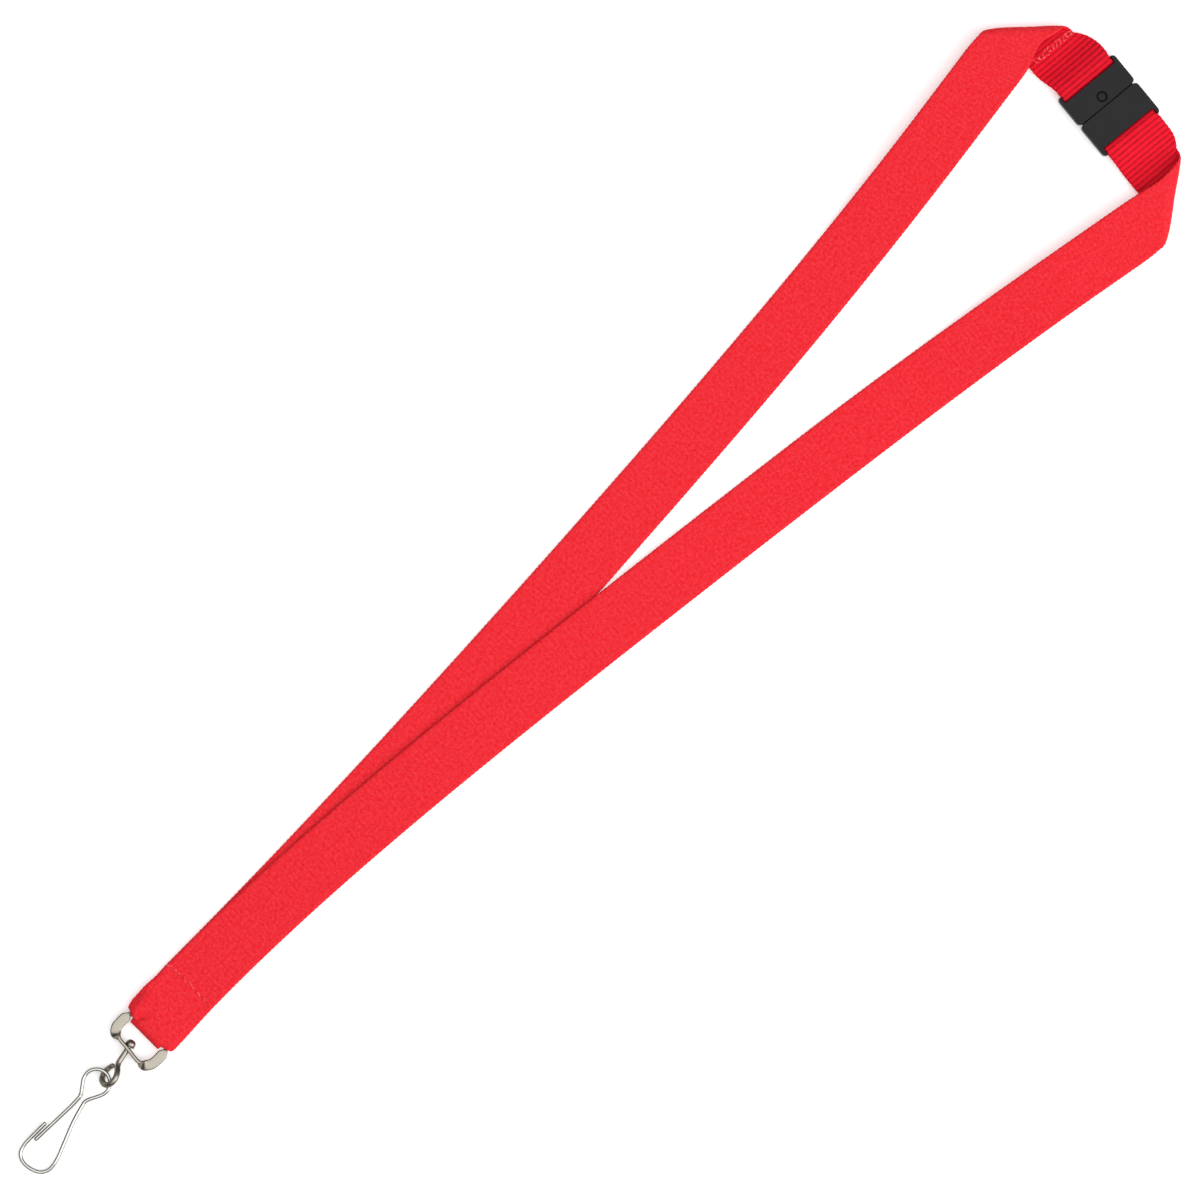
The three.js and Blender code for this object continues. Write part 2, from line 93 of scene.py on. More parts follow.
def join(name, *pieces):
    """Makes one object of several."""
    together = bmesh.new()
    for piece in pieces:
        together.from_mesh(piece.data)
        bpy.data.objects.remove(piece)
    mesh = bpy.data.meshes.new(name)
    together.to_mesh(mesh)
    together.free()
    return new_object(name, mesh)


def skin(name, rings, closed=False):
    """rings has the shape (rings, points, 3), in millimetres. closed joins the last to the first."""
    count, points = rings.shape[:2]
    along = np.arange(count if closed else count - 1)[:, None]
    round_ring = np.arange(points)[None, :]
    after, beside = (along + 1) % count, (round_ring + 1) % points
    corners = [along * points + round_ring, along * points + beside,
               after * points + beside, after * points + round_ring]
    faces = np.stack(corners, axis=-1).reshape(-1, 4).tolist()
    if not closed:
        faces.append(list(range(points))[::-1])
        faces.append(list(range((count - 1) * points, count * points)))
    mesh = bpy.data.meshes.new(name)
    mesh.from_pydata((rings.reshape(-1, 3) * MM).tolist(), [], faces)
    mesh.polygons.foreach_set("use_smooth", [len(face) == 4 for face in faces])
    return new_object(name, mesh)


def outward(piece):
    """Turns a closed piece's faces to point outwards."""
    work = bmesh.new()
    work.from_mesh(piece.data)
    bmesh.ops.recalc_face_normals(work, faces=work.faces)
    work.to_mesh(piece.data)
    work.free()
    return piece


def ramp(value, low, high):
    """Rises smoothly from 0 at low to 1 at high."""
    t = np.clip((value - low) / (high - low), 0, 1)
    return t * t * (3 - 2 * t)


# %% [markdown]
# ## Where the webbing runs
# The strap is one flat tape. Each leg sweeps gently in the plane of the table, so a smooth quartic
# gives its middle line. Near the neck the tape turns a corner the way paper does: it is folded over
# flat on a slanting crease, so the leg ends up on top and the neck stretch comes out underneath with
# its other face up. The route follows the CAD solids. Drawing the leg's inner edge in a little near
# the fold is how a tape looks from above when it starts to turn over.

# %% Route of the legs
WEB_WIDTH, WEB_THICK = 20.0, 1.0
GAP = 0.3
CENTRE = np.array([2.82, -9.26])
SEAM_Y, LEG_TOP_Y, LIFT_START_Y, CUT_Y = -179.0, 204.0, 120.0, 184.0
LEFT_SWEEP = (-5.6, -5.4, -13, -16.2, -31.2)
RIGHT_SWEEP = (-5.3, -6.8, 12.7, 18.3, 37.4)
CROSSING_START_Y, CROSSING_END_Y = 5.0, 50.0
LEFT_LEAN, RIGHT_LEAN, LEAN_START_Y = 0.04, 0.1, 80.0
NECK_Z, FOLD_RADIUS = 1.9, 2.0
UNDER_Z = WEB_THICK / 2
OVER_Z = UNDER_Z + WEB_THICK + GAP
FOLD_Z = NECK_Z + 2 * FOLD_RADIUS


def leg_x(sweep, y):
    t = np.minimum((y - SEAM_Y) / (LEG_TOP_Y - SEAM_Y), 1)
    r = 1 - t
    a, b, c, d, e = sweep
    x = a * r**4 + 4 * b * r**3 * t + 6 * c * r**2 * t**2 + 4 * d * r * t**3 + e * t**4
    return x + np.maximum(y - LEG_TOP_Y, 0) * 4 * (e - d) / (LEG_TOP_Y - SEAM_Y)


def leg_heading(sweep, y):
    slope = (leg_x(sweep, y + 0.05) - leg_x(sweep, y - 0.05)) / 0.1
    length = np.sqrt(1 + slope**2)
    return slope / length, 1 / length


def left_height(y):
    return UNDER_Z + (FOLD_Z - UNDER_Z) * ramp(y, LIFT_START_Y, CUT_Y)


def right_height(y):
    crossed = ramp(y, CROSSING_START_Y, CROSSING_END_Y)
    return OVER_Z + (UNDER_Z - OVER_Z) * crossed + (FOLD_Z - UNDER_Z) * ramp(y, LIFT_START_Y, CUT_Y)


def leg_surface(sweep, height, side, lean):
    """The leg's middle surface: u runs across it from -1 to 1, and s is y. side is -1 on the left.
    Near its fold the leg leans, so its inner half looks narrower from above by the share lean."""
    def surface(u, s):
        ahead_x, ahead_y = leg_heading(sweep, s)
        aside = u * WEB_WIDTH / 2 * (1 - lean * (side * u < 0) * ramp(s, LEAN_START_Y, CUT_Y))
        return np.stack([leg_x(sweep, s) + aside * ahead_y, s - aside * ahead_x, height(s)], axis=-1)
    return surface


print("height of the folds in mm:", FOLD_Z)

# %% [markdown]
# ## The neck stretches
# Rolling the tape over a slanting crease is the same as rolling paper round a thin rod: distance
# past the crease becomes an angle round the rod, and then distance back underneath. After the fold
# the tape settles into line with the buckle, turns round the buckle's bar and comes back as a tail.
# One function of (across, along) holds the whole of it, so the weave below never has a seam to hide.

# %% Route of the neck stretches
BUCKLE_CENTRE = np.array([2.6, 225.0])
BUCKLE_TURN = math.radians(-5.5)
ALONG = np.array([math.cos(BUCKLE_TURN), math.sin(BUCKLE_TURN)])
ACROSS = np.array([-ALONG[1], ALONG[0]])
BAR_Z, WRAP_RADIUS = 3.0, 1.6
SOCKET_BAR, PLUG_BAR = 10.3, 11.7
RISE_END, RISE_START = 11.5, 22.0

# Where the two sides differ, -1 is the socket's side and 1 the plug's.
TUCK = {-1: 3.5, 1: 2.1}  # how far the fold is drawn in
TUCK_SPAN = 22.0
TUCK_EASE = {-1: 0.22, 1: 0.5}  # the share by which the neck's outer edge is drawn in less
SETTLE = {-1: 7.5, 1: 4.0}  # over this much of the neck stretch it comes back into line
# The neck stretch is a little wider past the buckle, by these shares on its two edges.
SPREAD_IN, SPREAD_OUT, SPREAD_RISE = {-1: 0.12, 1: 0.03}, 0.055, 2.0
# A fold's outer corners curl over, and just before it the leg's inner edge stands off.
CORNER_CURL, CURL_AT, CURL_REACH = 0.9, 3.0, 4.0
LEAN_FADE = 6.0
OPENING, OPENING_AT, OPENING_REACH = {-1: 1.8, 1: 0.5}, -6.5, 5.0
# Where each tail is sewn, and how its corner is trimmed away.
SEAM = {-1: 24.9, 1: 27.0}
TAIL_PAST_SEAM, TAIL_TRIM, TRIM_START, TRIM_END = 2.5, 5.5, 14.0, 28.0


def cross(a, b):
    return a[0] * b[1] - a[1] * b[0]


def neck_surface(sweep, side, bar, lean):
    """A corner fold, the neck stretch, its turn round the buckle's bar and its tail.
    Returns the surface and its length."""
    entry = np.array([leg_x(sweep, CUT_Y), CUT_Y])
    inward = np.array(leg_heading(sweep, CUT_Y))
    away = -side * ALONG
    run = cross(BUCKLE_CENTRE - entry, away) / cross(inward, away)
    corner = entry + run * inward
    normal = (inward - away) / np.linalg.norm(inward - away)
    bend_start = corner @ normal - math.pi / 2 * FOLD_RADIUS
    neck_run = np.linalg.norm(corner - BUCKLE_CENTRE) - bar
    length = run + neck_run + math.pi * WRAP_RADIUS + SEAM[side] + TAIL_PAST_SEAM - bar
    full_slide = TUCK[side] / (inward @ normal)
    beside = np.array([inward[1], -inward[0]])

    def surface(u, s):
        ahead = s[..., None] * inward
        past = (entry + ahead + (u * WEB_WIDTH / 2)[..., None] * beside) @ normal - bend_start
        aside = u * WEB_WIDTH / 2 * (1 - lean * (side * u < 0) * (1 - ramp(past, -LEAN_FADE, LEAN_FADE)))
        flat = entry + ahead + aside[..., None] * beside
        bend = np.clip(past / FOLD_RADIUS, 0, math.pi)
        after = np.maximum(past - math.pi * FOLD_RADIUS, 0)
        curl = np.abs(u) ** 4 * np.exp(-((past - CURL_AT) / CURL_REACH) ** 2)
        shift = FOLD_RADIUS * np.sin(bend) - np.maximum(past, 0) - after - CORNER_CURL * curl
        inner = np.maximum(-side * u, 0) ** 3 * np.exp(-((past - OPENING_AT) / OPENING_REACH) ** 2)
        slide = full_slide * (1 - TUCK_EASE[side] * np.maximum(-side * u, 0) ** 2)
        flat = flat + shift[..., None] * normal - (slide * ramp(past, -TUCK_SPAN, 0))[..., None] * inward
        flat = flat + (side * OPENING[side] * inner)[..., None] * beside
        z = FOLD_Z - FOLD_RADIUS * (1 - np.cos(bend))

        centred = flat - BUCKLE_CENTRE
        distance = centred @ ALONG * side
        v = centred @ ACROSS
        under = bend >= math.pi
        settled = 1 - (1 - np.clip(after / SETTLE[side], 0, 1)) ** 2
        spread = np.where(v > 0, SPREAD_OUT * ramp(distance, RISE_END, RISE_END + SPREAD_RISE),
                          SPREAD_IN[side] * ramp(distance, RISE_END, RISE_START))
        v = v * (1 + spread * under * (distance > bar))
        v = v + np.where(under, inward @ ACROSS * slide * settled, 0)
        wrap = np.clip((bar - distance) / WRAP_RADIUS, 0, math.pi)
        tail = bar - distance - math.pi * WRAP_RADIUS
        top_z, low_z = BAR_Z + WRAP_RADIUS, BAR_Z - WRAP_RADIUS
        going = np.where(wrap > 0, BAR_Z + WRAP_RADIUS * np.cos(wrap),
                         top_z + (NECK_Z - top_z) * ramp(distance, RISE_END, RISE_START))
        near = np.where(wrap > 0, bar - WRAP_RADIUS * np.sin(wrap), distance)
        back = bar + np.maximum(tail, 0)
        trimmed = TAIL_TRIM * ramp(back, TRIM_START, TRIM_END) * ramp(v, 0, WEB_WIDTH / 2)
        v = v - np.where(under & (tail > 0), trimmed, 0)
        tail_z = low_z + (UNDER_Z - low_z) * ramp(back, RISE_END, RISE_START)
        z = np.where(under, np.where(tail > 0, tail_z, going), z)
        distance = np.where(under, np.where(tail > 0, back, near), distance)
        place = BUCKLE_CENTRE + (distance * side)[..., None] * ALONG + v[..., None] * ACROSS
        return np.concatenate([place, z[..., None]], axis=-1)

    return surface, length


left_neck, left_neck_length = neck_surface(LEFT_SWEEP, -1, SOCKET_BAR, LEFT_LEAN)
right_neck, right_neck_length = neck_surface(RIGHT_SWEEP, 1, PLUG_BAR, RIGHT_LEAN)
print("neck stretches in mm:", round(left_neck_length, 1), round(right_neck_length, 1))

# %% [markdown]
# ## The loop round the bracket
# At the bottom the tape turns round the bracket's hidden bar. The bracket is narrower than the tape,
# so the tape narrows at its shoulders just before the bar, its margins roll under, and one corner is
# pinched into a dimple. Each of these is a small push on the middle surface, faded in and out by a
# smooth ramp.

# %% Route of the loop round the bracket
LOOP_X, LOOP_Y, LOOP_RADIUS, LOOP_HALF = -4.6, -197.5, 2.0, 6.25
LOOP_Z = UNDER_Z + LOOP_RADIUS
SHOULDER_Y, SHOULDER_TAPER = -197.0, 1.6
LOOP_RUN = SEAM_Y - LOOP_Y
LOOP_LENGTH = 2 * LOOP_RUN + math.pi * LOOP_RADIUS
LEFT_BULGE, LEFT_ROLL, RIGHT_ROLL = 0.7, 2.0, 0.8
PINCH, PINCH_DEPTH, PINCH_LONG, PINCH_WIDE = (-9.5, -197.1), 1.3, 2.0, 0.85
PINCH_HEADING = (0.4, 0.92)

# Where each push fades in, as -y, and where the bulge fades out again, as y.
BULGE_IN, BULGE_OUT, LEFT_ROLL_IN, RIGHT_ROLL_IN = (183, 190), (-198, -194), (187, 193), (184, 195)
# Where the rolled margins and the dent end, in radians of turn round the bar.
ROLL_OUT, DENT_OUT = (0.3, 1.4), (0.6, 1.3)


def loop_surface(u, s):
    """From the seam's lower layer, round the bracket's bar, and back to the seam's upper layer."""
    s = LOOP_LENGTH - s
    turn = np.clip((s - LOOP_RUN) / LOOP_RADIUS, 0, math.pi)
    back = np.maximum(s - LOOP_RUN - math.pi * LOOP_RADIUS, 0)
    y = SEAM_Y - np.minimum(s, LOOP_RUN) - LOOP_RADIUS * np.sin(turn) + back
    narrow = 1 - ramp(y, SHOULDER_Y - SHOULDER_TAPER, SHOULDER_Y)
    gather = 1 - ramp(y, SHOULDER_Y, SEAM_Y + 2)
    half = WEB_WIDTH / 2 + (LOOP_HALF - WEB_WIDTH / 2) * narrow
    low = turn >= math.pi
    middle = np.where(low, leg_x(LEFT_SWEEP, SEAM_Y), leg_x(RIGHT_SWEEP, SEAM_Y))
    bulge = LEFT_BULGE * ramp(-y, *BULGE_IN) * ramp(y, *BULGE_OUT)
    x = middle + (LOOP_X - middle) * gather + u * half + bulge * np.minimum(u, 0) ** 3
    lift = 1 - ramp(y, SHOULDER_Y, SEAM_Y)
    upper = OVER_Z + (LOOP_Z + LOOP_RADIUS - OVER_Z) * lift
    z = np.where(low, UNDER_Z, np.where(turn > 0, LOOP_Z + LOOP_RADIUS * np.cos(turn), upper))
    rolled = ramp(-u, 0.8, 0.92) * ramp(-y, *LEFT_ROLL_IN) * LEFT_ROLL
    rolled = rolled + ramp(u, 0.8, 1) * ramp(-y, *RIGHT_ROLL_IN) * RIGHT_ROLL
    z = z - np.where(low, 0, rolled * (1 - ramp(turn, *ROLL_OUT)))
    from_x, from_y = x - PINCH[0], y - PINCH[1]
    to_x, to_y = PINCH_HEADING
    lengthwise, sideways = to_x * from_x + to_y * from_y, to_y * from_x - to_x * from_y
    dent = np.exp(-(lengthwise / PINCH_LONG) ** 2 - (sideways / PINCH_WIDE) ** 2)
    z = z - np.where(low, 0, PINCH_DEPTH * (1 - ramp(turn, *DENT_OUT))) * dent
    return np.stack([x, y, z], axis=-1)


print("loop length in mm:", round(LOOP_LENGTH, 1))

# %% [markdown]
# ## Weaving the strap
# Ribbed webbing has a thick weft under a fine warp, so ribs lie across it about 1.5 mm apart, and
# each one ends in a small bump at the selvage. Flat tape would need a bump map to show this. Here
# the ribs are real: five rings to a rib, each a flat section with round selvages, thicker on the
# crown of a rib than in the furrow. The face that shows at the neck is the coarser back face.

# %% Weave a strip of webbing
RIB = 1.6
ROWS_PER_RIB = (0.0, 0.16, 0.38, 0.62, 0.84)
FACE_RELIEF, BACK_RELIEF, SELVAGE_RELIEF = 0.03, 0.15, 0.14
STEP = 0.02


def web_section(columns=28):
    """(u, t) round the section: u is -1 to 1 across, and t is -1 to 1 through the thickness."""
    turn = np.linspace(math.pi / 2, -math.pi / 2, 5)[1:-1]
    margin = WEB_THICK / WEB_WIDTH
    flat = np.linspace(-1 + margin, 1 - margin, columns)
    side_u, side_t = 1 - margin + margin * np.cos(turn), np.sin(turn)
    u = np.concatenate([flat, side_u, flat[::-1], -side_u[::-1]])
    t = np.concatenate([np.ones(columns), side_t, -np.ones(columns), side_t[::-1]])
    return u, t


def surface_directions(surface, u, s):
    """The unit directions across the surface and out of its face, at each (u, s)."""
    aside = surface(u + STEP, s) - surface(u - STEP, s)
    ahead = surface(u, s + STEP) - surface(u, s - STEP)
    normal = np.cross(aside, ahead)
    return tuple(way / np.linalg.norm(way, axis=-1, keepdims=True) for way in (aside, normal))


def weave(name, stretches):
    """stretches is a list of (surface, start, end). Returns the strip, with an attribute that holds
    each point's place in the weave: millimetres along, millimetres across, and which face."""
    section_u, section_t = web_section()
    rings, places = [], []
    travelled = 0.0
    for surface, start, end in stretches:
        last = travelled + end - start
        low, high = math.ceil(travelled / RIB) - 1, math.ceil(last / RIB) + 1
        rows = np.array([(k + part) * RIB for k in range(low, high) for part in ROWS_PER_RIB])
        rows = rows[(rows > travelled + 0.05) & (rows < last - 0.05)]
        rows = np.concatenate([[travelled], rows]) if not rings else rows
        s, u = np.meshgrid(rows - travelled + start, section_u, indexing="ij")
        outwards, normal = surface_directions(surface, u, s)
        crown = np.abs(np.sin(math.pi * rows / RIB))[:, None] ** 0.7 - 0.6
        relief = np.where(section_t > 0, FACE_RELIEF, BACK_RELIEF)[None, :]
        height = section_t[None, :] * WEB_THICK / 2 + np.sign(section_t)[None, :] * relief * crown
        bulge = np.where(np.abs(section_t) < 0.99, SELVAGE_RELIEF, 0) * np.sign(section_u)
        middle = surface(u, s) + height[..., None] * normal
        rings.append(middle + (bulge[None, :] * crown)[..., None] * outwards)
        across = np.broadcast_to(section_u * WEB_WIDTH / 2, u.shape)
        face = np.broadcast_to(section_t, u.shape)
        places.append(np.stack([np.broadcast_to(rows[:, None], u.shape), across, face], axis=-1))
        travelled = last
    points = np.concatenate(rings)
    points[..., :2] -= CENTRE
    strip = outward(skin(name, points))
    attribute = strip.data.attributes.new("weave", "FLOAT_VECTOR", "POINT")
    attribute.data.foreach_set("vector", np.concatenate(places).astype(np.float32).ravel())
    print(name, "length in mm:", round(travelled, 1), "faces:", len(strip.data.polygons))
    return strip, travelled


right_strap, right_length = weave("right_strap", [
    (loop_surface, 0, LOOP_LENGTH),
    (leg_surface(RIGHT_SWEEP, right_height, 1, RIGHT_LEAN), SEAM_Y, CUT_Y),
    (right_neck, 0, right_neck_length),
])
left_strap, left_length = weave("left_strap", [
    (leg_surface(LEFT_SWEEP, left_height, -1, LEFT_LEAN), SEAM_Y, CUT_Y),
    (left_neck, 0, left_neck_length),
])

# %% [markdown]
# ## Breakaway buckle
# Two acetal mouldings. The socket is a flat box with a round hole in its deck. The plug carries a
# tongue whose nub shows in that hole. Behind each deck two cheeks hold a bar that the webbing turns
# round. Each half starts as a plate with round corners, is cut by booleans as a mould maker would
# cut it, and gets a small bevel, because a moulded edge is never sharp.

# %% Buckle sizes and tools
HALF_WIDTH, BUCKLE_HEIGHT, CHEEK = 11.45, 6.0, 1.2
PARTING, LIP = 0.2, 0.7
HOLE_U, HOLE_RADIUS, NUB_RADIUS = -2.9, 1.8, 1.15
TO_BUCKLE = (Matrix.Translation(Vector((*(BUCKLE_CENTRE - CENTRE), 0)) * MM)
             @ Matrix.Rotation(BUCKLE_TURN, 4, "Z"))


def plate(name, low, high, corner=1.3, steps=6):
    """A box between two corners, in millimetres, with round upright edges."""
    points = []
    west, east, south, north = low[0] + corner, high[0] - corner, low[1] + corner, high[1] - corner
    for cx, cy, first in ((east, south, -90), (east, north, 0), (west, north, 90), (west, south, 180)):
        for k in range(steps + 1):
            turn = math.radians(first + 90 * k / steps)
            points.append((cx + corner * math.cos(turn), cy + corner * math.sin(turn)))
    work = bmesh.new()
    bottom = work.faces.new([work.verts.new((x * MM, y * MM, low[2] * MM)) for x, y in points])
    top = bmesh.ops.extrude_face_region(work, geom=[bottom])
    for vertex in (v for v in top["geom"] if isinstance(v, bmesh.types.BMVert)):
        vertex.co.z = high[2] * MM
    bmesh.ops.recalc_face_normals(work, faces=work.faces)
    mesh = bpy.data.meshes.new(name)
    work.to_mesh(mesh)
    work.free()
    return new_object(name, mesh)


def rod(name, centre, radius, length, axis="Z", sides=40):
    """A cylinder along Z or Y, in millimetres."""
    work = bmesh.new()
    turn = Matrix.Rotation(math.radians(90), 4, "X" if axis == "Y" else "Z")
    bmesh.ops.create_cone(work, cap_ends=True, segments=sides, radius1=radius * MM, radius2=radius * MM,
                          depth=length * MM, matrix=Matrix.Translation(Vector(centre) * MM) @ turn)
    mesh = bpy.data.meshes.new(name)
    work.to_mesh(mesh)
    work.free()
    return new_object(name, mesh)


def apply_modifiers(piece):
    graph = bpy.context.evaluated_depsgraph_get()
    made = bpy.data.meshes.new_from_object(piece.evaluated_get(graph))
    piece.modifiers.clear()
    piece.data = made
    return piece


def carve(piece, tool, operation="DIFFERENCE"):
    cut = piece.modifiers.new("cut", "BOOLEAN")
    cut.operation = operation
    cut.solver = "EXACT"
    cut.object = tool
    apply_modifiers(piece)
    bpy.data.objects.remove(tool)
    return piece


def soften(piece, width, segments=3):
    """Rounds the sharp edges, as a mould or a tumbling barrel does."""
    bevel = piece.modifiers.new("bevel", "BEVEL")
    bevel.width = width * MM
    bevel.segments = segments
    bevel.limit_method = "ANGLE"
    bevel.angle_limit = math.radians(40)
    for face in piece.data.polygons:
        face.use_smooth = True
    even = piece.modifiers.new("even", "WEIGHTED_NORMAL")
    even.weight = 100
    return apply_modifiers(piece)


# %% [markdown]
# ## The buckle's halves
# Both halves are the same box with the same slot for the webbing, cut twice so that a thin lip of
# the deck reaches over the webbing's turn. Only the joint differs: the socket is hollowed for the
# tongue and has the hole, and the plug gains the tongue, its wide shoulder and the nub.

# %% The two halves
TONGUE_LOW, TONGUE_HIGH = 2.2, 3.8
CAVITY_LOW, CAVITY_HIGH = 1.6, 4.4
EDGE = 0.22


def buckle_half(name, face, deck, end, bar):
    """face is the parting face, deck the edge of the solid deck, end the cheeks' end, bar its bar."""
    low, high = min(face, end), max(face, end)
    body = plate(name, (low, -HALF_WIDTH, 0), (high, HALF_WIDTH, BUCKLE_HEIGHT))
    out = math.copysign(1, end)
    for edge, top in ((deck, BUCKLE_HEIGHT - LIP), (deck + out * LIP, BUCKLE_HEIGHT + 1)):
        carve(body, plate("slot", (min(edge, end + 2 * out), CHEEK - HALF_WIDTH, -1),
                          (max(edge, end + 2 * out), HALF_WIDTH - CHEEK, top), corner=0.4, steps=2))
    return carve(body, rod("bar", (bar, 0, BAR_Z), 0.8, 2 * HALF_WIDTH - CHEEK, axis="Y"), "UNION")


socket = buckle_half("buckle_socket_shell", face=-PARTING, deck=-7.9, end=-11.2, bar=-SOCKET_BAR)
carve(socket, plate("cavity", (-7, -7.4, CAVITY_LOW), (1, 7.4, CAVITY_HIGH), corner=0.6, steps=2))
carve(socket, plate("mouth", (-0.8, -10.5, CAVITY_LOW), (1, 10.5, CAVITY_HIGH), corner=0.3, steps=2))
carve(socket, rod("hole", (HOLE_U, 0, BUCKLE_HEIGHT), HOLE_RADIUS, BUCKLE_HEIGHT))
soften(socket, EDGE)
socket.data.transform(TO_BUCKLE)

plug = buckle_half("buckle_plug_body", face=PARTING, deck=9.3, end=12.5, bar=PLUG_BAR)
tongue = plate("tongue", (-6.3, -6.5, TONGUE_LOW), (1.5, 6.5, TONGUE_HIGH), corner=1.0)
shoulder = plate("shoulder", (-0.6, -10.3, TONGUE_LOW), (1.5, 10.3, TONGUE_HIGH), corner=0.3, steps=2)
carve(plug, tongue, "UNION")
carve(plug, shoulder, "UNION")
carve(plug, rod("nub", (HOLE_U, 0, 3.9), NUB_RADIUS, 3.2), "UNION")
soften(plug, EDGE)
plug.data.transform(TO_BUCKLE)
print("buckle faces:", len(socket.data.polygons), len(plug.data.polygons))

# %% [markdown]
# ## Swivel bracket
# A flat nickel-plated strip bent into a ring. Its arms lie flat, and at each lower corner the strip
# twists by a quarter turn, so that the bar between them stands on edge for the swivel's shank to pass
# through. One rounded section is swept round the ring, and its width turns from flat to upright.

# %% Bracket
def placed(x, y, z, tilt):
    """A place in working millimetres, tipped about X by tilt degrees."""
    there = Matrix.Translation(Vector((x - CENTRE[0], y - CENTRE[1], z)) * MM)
    return there @ Matrix.Rotation(math.radians(tilt), 4, "X")


BRACKET_AT = placed(LOOP_X, LOOP_Y, LOOP_Z, tilt=-2.5)
PLATE = 1.2
# The strip is narrower and thinner on the hidden bar than in the arms.
BAR_WIDTH, ARM_WIDTH, BAR_PLATE, PLATE_CORNER = 1.2, 3.4, 0.85, 0.4
# It turns on edge between these distances below the bar and either side of the middle, and it
# widens and thickens between these distances below the bar.
TWIST_Y, TWIST_X, WIDEN_Y, THICKEN_Y = (5.5, 7.5), (4.4, 7.7), (0.4, 2.8), (0.2, 1.4)


def rounded_section(width, thick, corner, steps=3):
    """Points round a rectangle with round corners."""
    points = []
    for sx, sy, first in ((1, -1, -90), (1, 1, 0), (-1, 1, 90), (-1, -1, 180)):
        for k in range(steps + 1):
            turn = math.radians(first + 90 * k / steps)
            points.append((sx * (width / 2 - corner) + corner * math.cos(turn),
                           sy * (thick / 2 - corner) + corner * math.sin(turn)))
    return np.array(points)


def smooth_path(points, count, closed=False):
    """A centripetal curve through the points, sampled evenly along its length."""
    points = np.array(points, float)
    if closed:
        chain = np.concatenate([points[-1:], points, points[:2]])
    else:
        chain = np.concatenate([[2 * points[0] - points[1]], points, [2 * points[-1] - points[-2]]])
    h = np.linspace(0, 1, 24, endpoint=False)[:, None]
    fine = []
    for k in range(1, len(chain) - 2):
        p0, p1, p2, p3 = chain[k - 1:k + 3]
        d1, d2, d3 = (np.linalg.norm(b - a) ** 0.5 for a, b in ((p0, p1), (p1, p2), (p2, p3)))
        leave = ((p1 - p0) / d1 - (p2 - p0) / (d1 + d2) + (p2 - p1) / d2) * d2
        arrive = ((p2 - p1) / d2 - (p3 - p1) / (d2 + d3) + (p3 - p2) / d3) * d2
        fine.append((2 * h**3 - 3 * h**2 + 1) * p1 + (h**3 - 2 * h**2 + h) * leave
                    + (3 * h**2 - 2 * h**3) * p2 + (h**3 - h**2) * arrive)
    fine = np.concatenate([*fine, chain[-2:-1]])
    travelled = np.concatenate([[0], np.cumsum(np.linalg.norm(np.diff(fine, axis=0), axis=1))])
    wanted = np.linspace(0, travelled[-1], count, endpoint=not closed)
    return np.stack([np.interp(wanted, travelled, fine[:, k]) for k in range(fine.shape[1])], axis=-1)


RING_PATH = [(-7.0, 0), (0, 0), (7.0, 0), (8.0, -0.8), (8.35, -2.8), (8.4, -5.0), (8.1, -7.2),
             (6.6, -9.2), (4.4, -9.6), (-0.7, -9.1), (-4.6, -8.75), (-6.8, -8.3), (-8.1, -6.7),
             (-8.3, -4.6), (-8.25, -2.6), (-7.9, -0.8)]
HOLE_THROUGH_BAR = 1.1
SWIVEL_AT = (Matrix.Translation(Vector((-0.7, -9.1, 0)) * MM)
             @ Matrix.Rotation(math.radians(11.5), 4, "Z"))


def ring_bracket():
    path = smooth_path(RING_PATH, 240, closed=True)
    tangent = np.roll(path, -1, axis=0) - np.roll(path, 1, axis=0)
    tangent /= np.linalg.norm(tangent, axis=1, keepdims=True)
    below = -path[:, 1]
    on_edge = ramp(below, *TWIST_Y) * (1 - ramp(np.abs(path[:, 0]), *TWIST_X))
    width = BAR_WIDTH + (ARM_WIDTH - BAR_WIDTH) * ramp(below, *WIDEN_Y)
    thickness = PLATE - (PLATE - BAR_PLATE) * (1 - ramp(below, *THICKEN_Y))
    rings = []
    for (x, y), (tx, ty), turned, wide, thick in zip(path, tangent, on_edge, width, thickness):
        angle = turned * math.pi / 2
        across = np.array([ty * math.cos(angle), -tx * math.cos(angle), math.sin(angle)])
        through = np.cross([tx, ty, 0], across)
        section = rounded_section(wide, thick, PLATE_CORNER)
        rings.append(np.array([x, y, 0]) + section[:, :1] * across + section[:, 1:] * through)
    return np.array(rings)


bracket = outward(skin("swivel_bracket_ring", ring_bracket(), closed=True))
shank_hole = rod("shank_hole", (0, 0, 0), HOLE_THROUGH_BAR, 6, axis="Y")
shank_hole.data.transform(SWIVEL_AT)
carve(bracket, shank_hole)
bracket.data.set_sharp_from_angle(angle=math.radians(35))
bracket.data.transform(BRACKET_AT)
print("bracket faces:", len(bracket.data.polygons))

# %% [markdown]
# ## Round wire
# The swivel and the hook are both bent wire. A round section is swept along a path, and each ring
# takes its sideways direction from the one before, so the skin never twists. A cut wire end is
# tumbled to a slightly flat dome, which is a few more rings of a shrinking radius.

